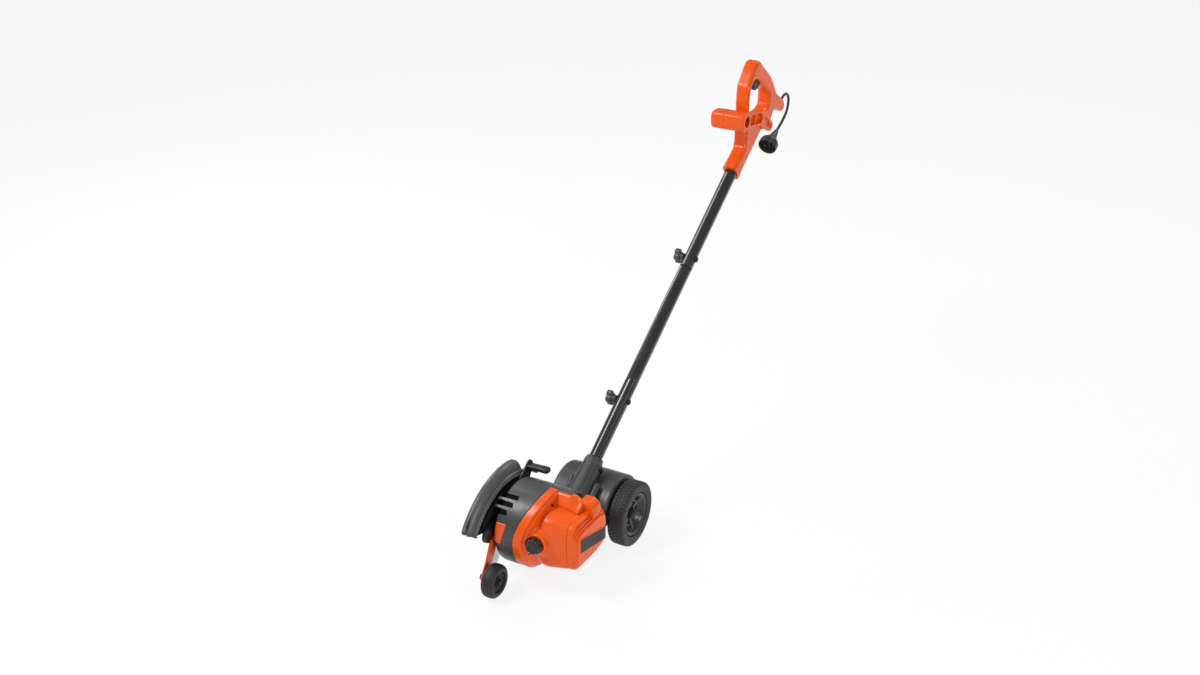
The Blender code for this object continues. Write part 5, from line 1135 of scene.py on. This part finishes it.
def build_socket():
    """The pole's socket: a tapering boss with long grooves, ribs beside it, and a half flange behind."""
    s = np.linspace(-0.120, -0.002, 90)
    radius = np.interp(s, [-0.120, -0.075, -0.006, -0.002], [0.0280, 0.0245, 0.0195, 0.0180])
    t = np.arange(144) * 2 * np.pi / 144
    square = 1 / squareness(t, 2.5)
    groove = sum(window(np.degrees(t), a, 2.2, 2.5) for a in (38.0, 62.0, 118.0, 142.0))
    cut = 0.0013 * groove[None, :] * window(s, -0.062, 0.046, 0.006)[:, None]
    reach = radius[:, None] * (0.55 + 0.45 * square)[None, :] - cut
    axis = np.stack([along_pole(v) for v in s])
    rings = axis[:, None] + reach[..., None] * (np.cos(t)[None, :, None] * X_AXIS
                                                + np.sin(t)[None, :, None] * POLE_FACE)
    piece("socket_boss", [loft(rings)], "body", "deck", angle=45.0)
    collar = rounded([(0.0146, 0.0), (0.0184, 0.0), (0.0190, 0.0014), (0.0184, 0.0034), (0.0160, 0.0046),
                      (0.0146, 0.0046)], 0.0006, 3, True)
    piece("socket_collar", [revolve(collar, along_pole(-0.0036), POLE_AXIS, 96, wrap=True)], "body", "black")
    for word, x, low, high in (("left", -0.0430, -0.098, -0.046), ("right", 0.0160, -0.098, -0.050)):
        path = np.stack([along_pole(v, -0.002, x) for v in np.linspace(low, high, 30)])
        end = np.sqrt(np.clip(1 - np.abs(np.linspace(-1, 1, 30)) ** 8, 0.02, 1))
        piece("socket_rib_" + word, [tube(path, 0.0070 * end, 32)], "body", "deck")
    back = np.array([(r * math.cos(a), r * math.sin(a)) for r, a in
                     [(0.0262, math.radians(v)) for v in np.linspace(170, 370, 60)]])
    outline = np.concatenate([back, [(0.0200, 0.0065), (-0.0200, 0.0065)]])

    def place(p):
        """Drawn across the pole: the first number along it, then X, then off it."""
        return (along_pole(-0.0190) + p[:, :1] * POLE_AXIS + p[:, 1:2] * X_AXIS + p[:, 2:] * POLE_FACE)

    piece("socket_flange", [plate(outline, -0.0035, 0.0035, 0.0012, 3, place=place)], "body", "black")
    head = (-0.0690, -0.0120, WHEEL_R + FENDER_R - 0.0017)
    piece("deck_screw", [dome(head, (0.0, -0.16, 0.98), 0.0034, 0.0026)], "body", "dark_steel")


def build_pole():
    """Three lacquered tubes with rolled ends, and at each joint a domed bolt and a winged knob."""
    for name, start, end in (("lower", -0.062, 0.192), ("middle", 0.117, 0.569), ("upper", 0.494, 0.850)):
        outer = TUBE_R
        if name == "middle":
            line = [(0.0127, 0.0), (0.0127, 0.0755), (0.0134, 0.0775), (outer, 0.0785), (outer, 0.3735),
                    (0.0134, 0.3745), (0.0127, 0.3765), (0.0127, 0.4520)]
        else:
            size = end - start
            line = [(outer - 0.0006, 0.0), (outer, 0.0006), (outer, size - 0.0006), (outer - 0.0006, size)]
            if name == "lower":
                line = line[:2] + [(outer, size - 0.0040), (outer + 0.0003, size - 0.0028),
                                   (outer + 0.0003, size - 0.0008), (outer - 0.0004, size)]
            else:
                line = [(outer - 0.0004, 0.0), (outer + 0.0003, 0.0008), (outer + 0.0003, 0.0028),
                        (outer, 0.0040)] + line[2:]
        profile = np.concatenate([line, [(r - TUBE_WALL, h) for r, h in line[::-1]]])
        piece(name + "_tube_skin", [revolve(profile, along_pole(start), POLE_AXIS, 96, wrap=True)], "body", "tube",
              [name + "_tube"])
    for name, at in (("lower", LOWER_BOLT), ("upper", UPPER_BOLT)):
        build_clamp(name, at)


def build_clamp(name, at):
    """A winged knob: overlapping circles in two broad and two short lobes, pillowed between its faces."""
    centre = along_pole(at)
    seat = POLE_X - TUBE_R - SEAT
    turn = POLE_ANGLE + math.radians(62)
    way, side = heading_at(turn)
    middle = centre[1:]
    ends = [(*(middle + way * r + side * q), size) for r, q, size in
            ((0.0112, 0.0, 0.0066), (-0.0112, 0.0, 0.0066), (0.0, 0.0040, 0.0090), (0.0, -0.0040, 0.0090),
             (0, 0, 0.0110))]
    outline = blob(middle, ends, 160)
    knob = plate(outline, seat - 0.0220, seat - 0.0080, 0.0034, 6)
    collar = revolve(rounded([(0.0, 0.0098), (0.0080, 0.0098), (0.0092, 0.0), (0.0, 0.0)], 0.0006, 3),
                     (seat - 0.0099, *middle), (1, 0, 0), 48)
    piece(name + "_wing", [knob, collar], name + "_knob", "dark", [name + "_knob"], angle=40.0)
    start = POLE_X + TUBE_R + SEAT
    head = rounded([(0.0, 0.0042), (0.0035, 0.0038), (0.0060, 0.0022), (0.0068, 0.0), (0.0, 0.0)], 0.0010, 4)
    shank = rod(0.0030, 0.0450)
    piece(name + "_bolt_head", [revolve(head, (start, *middle), (1, 0, 0), 48)], "body", "dark_steel", [name + "_bolt"])
    piece(name + "_bolt_shank", [revolve(shank, (start - 0.0450, *middle), (1, 0, 0), 32)], "body", "steel")


def off_pole(distance, off):
    return tuple(along_pole(distance, off)[1:])


HANDLE_OUTLINE = [
    off_pole(HANDLE_FROM - 0.020, -0.0172), off_pole(0.800, -0.0174), off_pole(0.860, -0.0176), (0.7480, 0.6660),
    (0.7640, 0.6735), (0.7880, 0.6690), (0.8020, 0.6700), (0.8130, 0.6800), (0.8290, 0.7010), (0.8480, 0.7020),
    (0.8640, 0.6965), (0.8800, 0.6880), (0.8905, 0.6885), (0.8960, 0.7000), (0.8890, 0.7150), (0.8640, 0.7310),
    (0.8430, 0.7460), (0.8180, 0.7800), (0.8000, 0.7985), (0.7700, 0.8205), (0.7530, 0.8340), (0.7375, 0.8455),
    (0.7230, 0.8455), (0.7075, 0.8340), (0.6895, 0.8130), (0.6785, 0.7970), (0.6750, 0.7720), (0.6755, 0.7380),
    (0.6745, 0.6900), (0.6740, 0.6690), off_pole(0.822, 0.0196), off_pole(0.800, 0.0196),
    off_pole(HANDLE_FROM - 0.020, 0.0192)]
HANDLE_HOLE = [
    (0.6935, 0.7220), (0.7130, 0.7180), (0.7520, 0.7190), (0.7780, 0.7200), (0.7960, 0.7270), (0.7990, 0.7430),
    (0.7960, 0.7580), (0.7700, 0.7790), (0.7420, 0.7990), (0.7150, 0.8060), (0.6960, 0.7940), (0.6885, 0.7700),
    (0.6885, 0.7430)]
TRIGGER_OUTLINE = [
    (0.7060, 0.8090), (0.7120, 0.8150), (0.7240, 0.8160), (0.7450, 0.8090), (0.7600, 0.8010), (0.7660, 0.7950),
    (0.7655, 0.7880), (0.7600, 0.7810), (0.7510, 0.7755), (0.7400, 0.7745), (0.7315, 0.7800), (0.7265, 0.7905),
    (0.7215, 0.8000), (0.7140, 0.8050)]
GRIP_SCREWS = ((0.6810, 0.6890), (0.6800, 0.6765), (0.8180, 0.7430), (0.7080, 0.8200))


def build_handle():
    """Two moulded halves: a looped outline stacked from the seam to its face, over a flat edge, a bevel and a round."""
    outer, hole = smooth_loop(HANDLE_OUTLINE, 8), smooth_loop(HANDLE_HOLE, 8)
    cut_plane = along_pole(HANDLE_FROM)
    for word, side in (("left", -1), ("right", 1)):
        line = rounded([(0.00012, 0.00002), (0.0, 0.00014), (0.0, 0.0108), (0.0030, 0.0150), (0.0062, HANDLE_HALF)],
                       [0, 0.0002, 0.0012, 0.0012, 0], 4)
        line = np.concatenate([line, [(0.0070, HANDLE_HALF)]])
        line[:, 1] = POLE_X + side * line[:, 1]
        tools = [[revolve(rod(0.0147, 0.150), along_pole(0.70), POLE_AXIS, 64)],
                 [revolve(rod(0.0058, 0.05), GLAND_AT, GLAND_AXIS, 48)],
                 [block((POLE_X - 0.0062, 0.7120, 0.7730), (POLE_X + 0.0062, 0.7720, 0.8150), 0.0006)],
                 [trim_block(cut_plane)]]
        if side > 0:
            for y, z in GRIP_SCREWS:
                well = [(0.0, 0.0), (0.0021, 0.0), (0.0023, 0.0060), (0.0, 0.0060)]
                tools.append([revolve(well, (POLE_X + HANDLE_HALF - 0.0022, y, z), (1, 0, 0), 32)])
        mesh = carved("grip_" + word, [stacked((outer, hole), line[:, 0], line[:, 1])], tools, 26.0)
        piece("grip_" + word, mesh, "body", "orange", ["handle_" + word])
    for index, (y, z) in enumerate(GRIP_SCREWS):
        at = (POLE_X + HANDLE_HALF - 0.0021, y, z)
        head = rounded([(0.0, 0.0002), (0.0014, 0.0), (0.0019, -0.0006), (0.0019, -0.0040), (0.0, -0.0040)], 0.0004, 3)
        piece("grip_screw_%d" % (index + 1), [revolve(head, at, (1, 0, 0), 32)], "body", "dark_steel")


def trim_block(at):
    """A block square to the pole, below a point on it."""
    c = np.array([(x, a, b) for x in (-0.06, 0.04) for a in (-0.08, 0.0) for b in (-0.06, 0.06)])
    across = c[:, :1] * X_AXIS
    points = np.array((0.0, at[1], at[2])) + across + c[:, 1:2] * POLE_AXIS + c[:, 2:] * POLE_FACE
    faces = np.array([(0, 1, 3, 2), (4, 6, 7, 5), (0, 4, 5, 1), (2, 3, 7, 6), (0, 2, 6, 4), (1, 5, 7, 3)])
    return points, [faces]


def build_aux_handle():
    """The front bar: squarish sections with a collar step, its right end a ring round a recess, and a broad arm."""
    y, z = 0.6480, 0.7270
    left, right = -0.0700, 0.0140
    line = [(left, 0.0118), (left + 0.0004, 0.0142), (left + 0.0026, 0.0184), (left + 0.0070, 0.0203),
            (-0.0368, 0.0211), (-0.0362, 0.0201), (-0.0345, 0.0201), (-0.0339, 0.0207), (-0.0060, 0.0204),
            (right - 0.0062, 0.0201), (right - 0.0056, 0.0207), (right - 0.0012, 0.0205), (right, 0.0192)]
    rings = sections([(x, y, z, half, 3.8, 0.0, 1.0) for x, half in line], 160, 0.30, 4)
    hollow = rounded([(0.0, 0.0), (0.0112, 0.0), (0.0138, 0.030), (0.0, 0.030)], 0.0008, 3)
    well = revolve(hollow, (-0.0040, y + 0.002, z), (1, 0, 0), 72)
    arm_low = POLE_X + HANDLE_HALF + SEAT
    bend = (0.7420, 0.7120)
    arm = links((y + 0.004, z - 0.001, 0.0178), (*bend, 0.0176), (*AUX_BOLT, 0.0125))
    outline = blob(bend, arm, 240)
    pocket = blob((0.7000, 0.7195), links((0.6790, 0.7235, 0.0118), (0.7270, 0.7150, 0.0122)), 160)
    recess = plate(pocket, right - 0.0085, right + 0.004, 0.0003, 1)
    low = blob((0.7640, 0.6960), links((0.7560, 0.7020, 0.0085), (0.7740, 0.6895, 0.0070)), 120)
    dip = plate(low, right - 0.0042, right + 0.004, 0.0003, 1)
    bar = carved("front_bar", [loft(rings)], [[well], [recess]], 34.0)
    piece("front_bar", bar, "body", "orange", ["aux_handle"])
    arm = carved("bar_arm", [plate(outline, arm_low, right - 0.0012, 0.0026, 5)], [[recess], [well], [dip]], 34.0)
    piece("bar_arm", arm, "body", "orange")
    rib = block((arm_low + 0.0014, 0.7000, 0.7090), (right - 0.0028, 0.7026, 0.7300), 0.0007, -8.0)
    piece("bar_rib", [rib], "body", "orange")
    bolt = rounded([(0.0, 0.0026), (0.0040, 0.0024), (0.0058, 0.0014), (0.0062, 0.0), (0.0, 0.0)], 0.0008, 3)
    piece("bar_bolt", [revolve(bolt, (right - 0.0010, *AUX_BOLT), (1, 0, 0), 48)], "body", "orange", ["aux_bolt"])
    piece("bar_screw", [dome((-0.0040, y + 0.002, z), (1, 0, 0), 0.0040, 0.0030)], "body", "dark_steel")


def build_trigger():
    """The trigger: one smoothed outline with round rims."""
    outline = smooth_loop(TRIGGER_OUTLINE, 6)
    body = plate(outline, POLE_X - 0.0055, POLE_X + 0.0055, 0.0024, 5)
    piece("trigger_blade", [body], "trigger", "black", ["trigger"], angle=40.0)


def finish_frame_nodes():
    """Gives each node of the frame that stays in view, or sits inside, its own finish."""
    looks = {
        "ground": ("blade", "output_spindle", "armature_shaft", "rear_axle"),
        "steel": ("blade_nut", "inner_flange", "outer_flange", "drive_gear", "spindle_bearing_inner", "trigger_spring",
                  "spindle_bearing_outer", "motor_bearing_front", "motor_bearing_rear"),
        "cast": ("gearcase_plate",), "laminate": ("armature_core", "stator"), "copper": ("commutator",),
        "winding": ("winding_front", "winding_rear"), "black": ("cooling_fan", "switch_body"),
        "brass": ("brush_upper", "brush_lower"), "nickel": ("plug_blade_left", "plug_blade_right")}
    for look, names in looks.items():
        for name in names:
            data = frame["nodes"][name].data
            data.materials.clear()
            data.materials.append(LOOKS[look]())


FLOOR_HALF, FLOOR_Z = 9.0, -0.0002
LAMPS = (  # name, place, what it aims at, size and power
    ("key_lamp", (-1.6, -1.7, 2.9), (0.0, 0.0, 0.3), (1.3, 1.3), 74.0),
    ("tube_lamp", (-2.0, 0.8, 1.9), (0.0, 0.2, 0.5), (0.5, 2.0), 16.0),
    ("side_lamp", (2.6, -1.2, 1.5), (0.0, 0.0, 0.4), (1.0, 1.0), 22.0),
    ("back_lamp", (0.6, 2.4, 2.4), (0.0, 0.0, 0.4), (1.0, 1.0), 18.0))
LENS, SENSOR = 45.0, 36.0  # millimetres
CAMERA_AT, CAMERA_TURN = (1.3407, -2.63265, 1.7733), (math.radians(64.0), 0.0, math.radians(29.36))


def build_stage():
    """Pale floor and backdrop, soft lamps, white surroundings and the camera at the photograph's angle."""
    scene = bpy.context.scene
    floor = bpy.data.meshes.new("floor")
    corners = [(x * FLOOR_HALF, y * FLOOR_HALF, FLOOR_Z) for x, y in ((-1, -1), (1, -1), (1, 1), (-1, 1))]
    floor.from_pydata(corners, [], [(0, 1, 2, 3)])
    ground = bpy.data.objects.new("floor", floor)
    scene.collection.objects.link(ground)
    f = Finish("pale_floor")
    tone = f.noise(1.5, 3.0).step(0.3, 0.7)
    f.surface({"Base Color": f.blend(tone, (0.90, 0.90, 0.90), (0.93, 0.93, 0.93)), "Roughness": 0.85,
               "Specular IOR Level": 0.1}, f.noise(90.0), 0.05, 0.0005)
    rays = f.tree.nodes.new("ShaderNodeLightPath")
    seen = Wire(f, rays.outputs["Is Camera Ray"]).math("MAXIMUM", Wire(f, rays.outputs["Is Glossy Ray"]))
    glow = f.add("ShaderNodeEmission", None, {"Color": (1, 1, 1, 1), "Strength": 1.0})
    mixed = f.add("ShaderNodeMixShader", None, {0: seen * 0.86, 1: Wire(f, f.shader.outputs[0]), 2: glow})
    f.tree.links.new(mixed.socket, f.tree.nodes["Material Output"].inputs["Surface"])
    floor.materials.append(f.material)

    world = bpy.data.worlds.new("surroundings")
    scene.world = world
    world.use_nodes = True
    tree = world.node_tree
    back = tree.nodes["Background"]
    back.inputs["Color"].default_value = (1.0, 1.0, 1.0, 1.0)
    back.inputs["Strength"].default_value = scene.edger_light.fill
    white = tree.nodes.new("ShaderNodeBackground")
    white.inputs["Color"].default_value = (1.0, 1.0, 1.0, 1.0)
    white.inputs["Strength"].default_value = 1.0
    path = tree.nodes.new("ShaderNodeLightPath")
    mix = tree.nodes.new("ShaderNodeMixShader")
    tree.links.new(path.outputs["Is Camera Ray"], mix.inputs[0])
    tree.links.new(back.outputs[0], mix.inputs[1])
    tree.links.new(white.outputs[0], mix.inputs[2])
    tree.links.new(mix.outputs[0], tree.nodes["World Output"].inputs["Surface"])

    for name, at, aim, size, power in LAMPS:
        lamp = bpy.data.lights.new(name, "AREA")
        lamp.shape, lamp.energy = "RECTANGLE", power * scene.edger_light.lamps
        lamp.size, lamp.size_y = size
        obj = bpy.data.objects.new(name, lamp)
        obj.location = at
        obj.rotation_euler = (Vector(aim) - Vector(at)).to_track_quat("-Z", "Y").to_euler()
        scene.collection.objects.link(obj)

    data = bpy.data.cameras.new("camera")
    data.lens, data.sensor_width = LENS, SENSOR
    camera = bpy.data.objects.new("camera", data)
    camera.location, camera.rotation_euler = CAMERA_AT, CAMERA_TURN
    scene.collection.objects.link(camera)
    scene.camera = camera
    scene.view_settings.view_transform = "Standard"


def colour_property(name, description, default):
    return FloatVectorProperty(name=name, description=description, default=default, subtype="COLOR", min=0, max=1)


class EdgerColours(bpy.types.PropertyGroup):
    """Colours of the moulded pieces, linear."""

    orange: colour_property("Orange", "Housing, handle and bracket", (0.86, 0.098, 0.003))
    housing: colour_property("Housing", "Gear housing", (0.056, 0.055, 0.054))
    deck: colour_property("Deck", "Wheel deck and pole socket", (0.050, 0.050, 0.049))
    hood: colour_property("Hood", "Blade hood", (0.088, 0.087, 0.085))
    tyre: colour_property("Tyre", "Wheel tyres", (0.019, 0.019, 0.0195))


class EdgerSizes(bpy.types.PropertyGroup):
    """Sizes of details that the frame leaves open."""

    lugs: IntProperty(name="Lugs", description="Bricks round one row of a rear tyre", default=50, min=8, max=60)
    lug_depth: FloatProperty(name="Lug depth", description="Depth of the grooves between lugs", default=0.0011,
                             unit="LENGTH", min=0, max=0.004)
    spokes: IntProperty(name="Spokes", description="Spokes in a rear hub", default=6, min=3, max=12)


class EdgerLight(bpy.types.PropertyGroup):
    """Strength of the studio's light."""

    fill: FloatProperty(name="Fill", description="Light from all round", default=0.36, min=0, max=2)
    lamps: FloatProperty(name="Lamps", description="Factor on every lamp", default=1.0, min=0, max=4)


class EDGER_OT_stage(bpy.types.Operator):
    """Makes the finishes, floor, lamps and camera"""

    bl_idname = "edger.stage"
    bl_label = "Stage"

    def execute(self, context):
        make_looks()
        build_stage()
        return {"FINISHED"}


class EDGER_OT_cord(bpy.types.Operator):
    """Builds the cord, its strain relief and its plug"""

    bl_idname = "edger.cord"
    bl_label = "Cord and plug"

    def execute(self, context):
        build_cord()
        return {"FINISHED"}


class EDGER_OT_wheels(bpy.types.Operator):
    """Builds the rear wheels and the front wheel"""

    bl_idname = "edger.wheels"
    bl_label = "Wheels"

    def execute(self, context):
        for word, side in (("left", -1), ("right", 1)):
            build_tyre(word, side)
            build_hub(word, side)
        build_front_wheel()
        return {"FINISHED"}


class EDGER_OT_depth_arm(bpy.types.Operator):
    """Builds the depth lever and the front wheel's bracket"""

    bl_idname = "edger.depth_arm"
    bl_label = "Depth lever"

    def execute(self, context):
        build_depth_arm()
        return {"FINISHED"}


class EDGER_OT_housings(bpy.types.Operator):
    """Builds the gear housing, the motor cover, its end cap and the clamp knob"""

    bl_idname = "edger.housings"
    bl_label = "Housings"

    def execute(self, context):
        build_gear_housing()
        build_motor_cover()
        build_end_cap()
        build_clamp_knob()
        return {"FINISHED"}


class EDGER_OT_hood(bpy.types.Operator):
    """Builds the blade hood"""

    bl_idname = "edger.hood"
    bl_label = "Blade hood"

    def execute(self, context):
        build_hood()
        return {"FINISHED"}


class EDGER_OT_deck(bpy.types.Operator):
    """Builds the wheel deck and the pole's socket"""

    bl_idname = "edger.deck"
    bl_label = "Deck"

    def execute(self, context):
        build_deck()
        return {"FINISHED"}


class EDGER_OT_pole(bpy.types.Operator):
    """Builds the three tubes and their clamps"""

    bl_idname = "edger.pole"
    bl_label = "Pole"

    def execute(self, context):
        build_pole()
        return {"FINISHED"}


class EDGER_OT_handle(bpy.types.Operator):
    """Builds the grip, the front bar and the trigger"""

    bl_idname = "edger.handle"
    bl_label = "Handle"

    def execute(self, context):
        build_handle()
        build_aux_handle()
        build_trigger()
        return {"FINISHED"}


class EDGER_OT_inside(bpy.types.Operator):
    """Gives the blade, the gears and the motor their finishes"""

    bl_idname = "edger.inside"
    bl_label = "Blade and motor"

    def execute(self, context):
        finish_frame_nodes()
        return {"FINISHED"}


OPERATORS = (EDGER_OT_stage, EDGER_OT_cord, EDGER_OT_wheels, EDGER_OT_depth_arm, EDGER_OT_housings, EDGER_OT_hood,
             EDGER_OT_deck, EDGER_OT_pole, EDGER_OT_handle, EDGER_OT_inside)


class EDGER_PT_panel(bpy.types.Panel):
    """Lists the edger's colours, sizes and operators"""

    bl_idname = "EDGER_PT_panel"
    bl_label = "Lawn edger"
    bl_space_type = "VIEW_3D"
    bl_region_type = "UI"
    bl_category = "Edger"

    def draw(self, context):
        scene = context.scene
        for group, names in ((scene.edger_colours, ("orange", "housing", "deck", "hood", "tyre")),
                             (scene.edger_sizes, ("lugs", "lug_depth", "spokes")),
                             (scene.edger_light, ("fill", "lamps"))):
            for name in names:
                self.layout.prop(group, name)
        for operator in OPERATORS:
            self.layout.operator(operator.bl_idname)


CLASSES = (EdgerColours, EdgerSizes, EdgerLight, *OPERATORS, EDGER_PT_panel)


def register():
    for made in CLASSES:
        bpy.utils.register_class(made)
    bpy.types.Scene.edger_colours = PointerProperty(type=EdgerColours)
    bpy.types.Scene.edger_sizes = PointerProperty(type=EdgerSizes)
    bpy.types.Scene.edger_light = PointerProperty(type=EdgerLight)


def unregister():
    del bpy.types.Scene.edger_colours, bpy.types.Scene.edger_sizes, bpy.types.Scene.edger_light
    for made in reversed(CLASSES):
        bpy.utils.unregister_class(made)


def main():
    register()
    for operator in OPERATORS:
        group, name = operator.bl_idname.split(".")
        getattr(getattr(bpy.ops, group), name)()


if __name__ == "__main__":
    main()
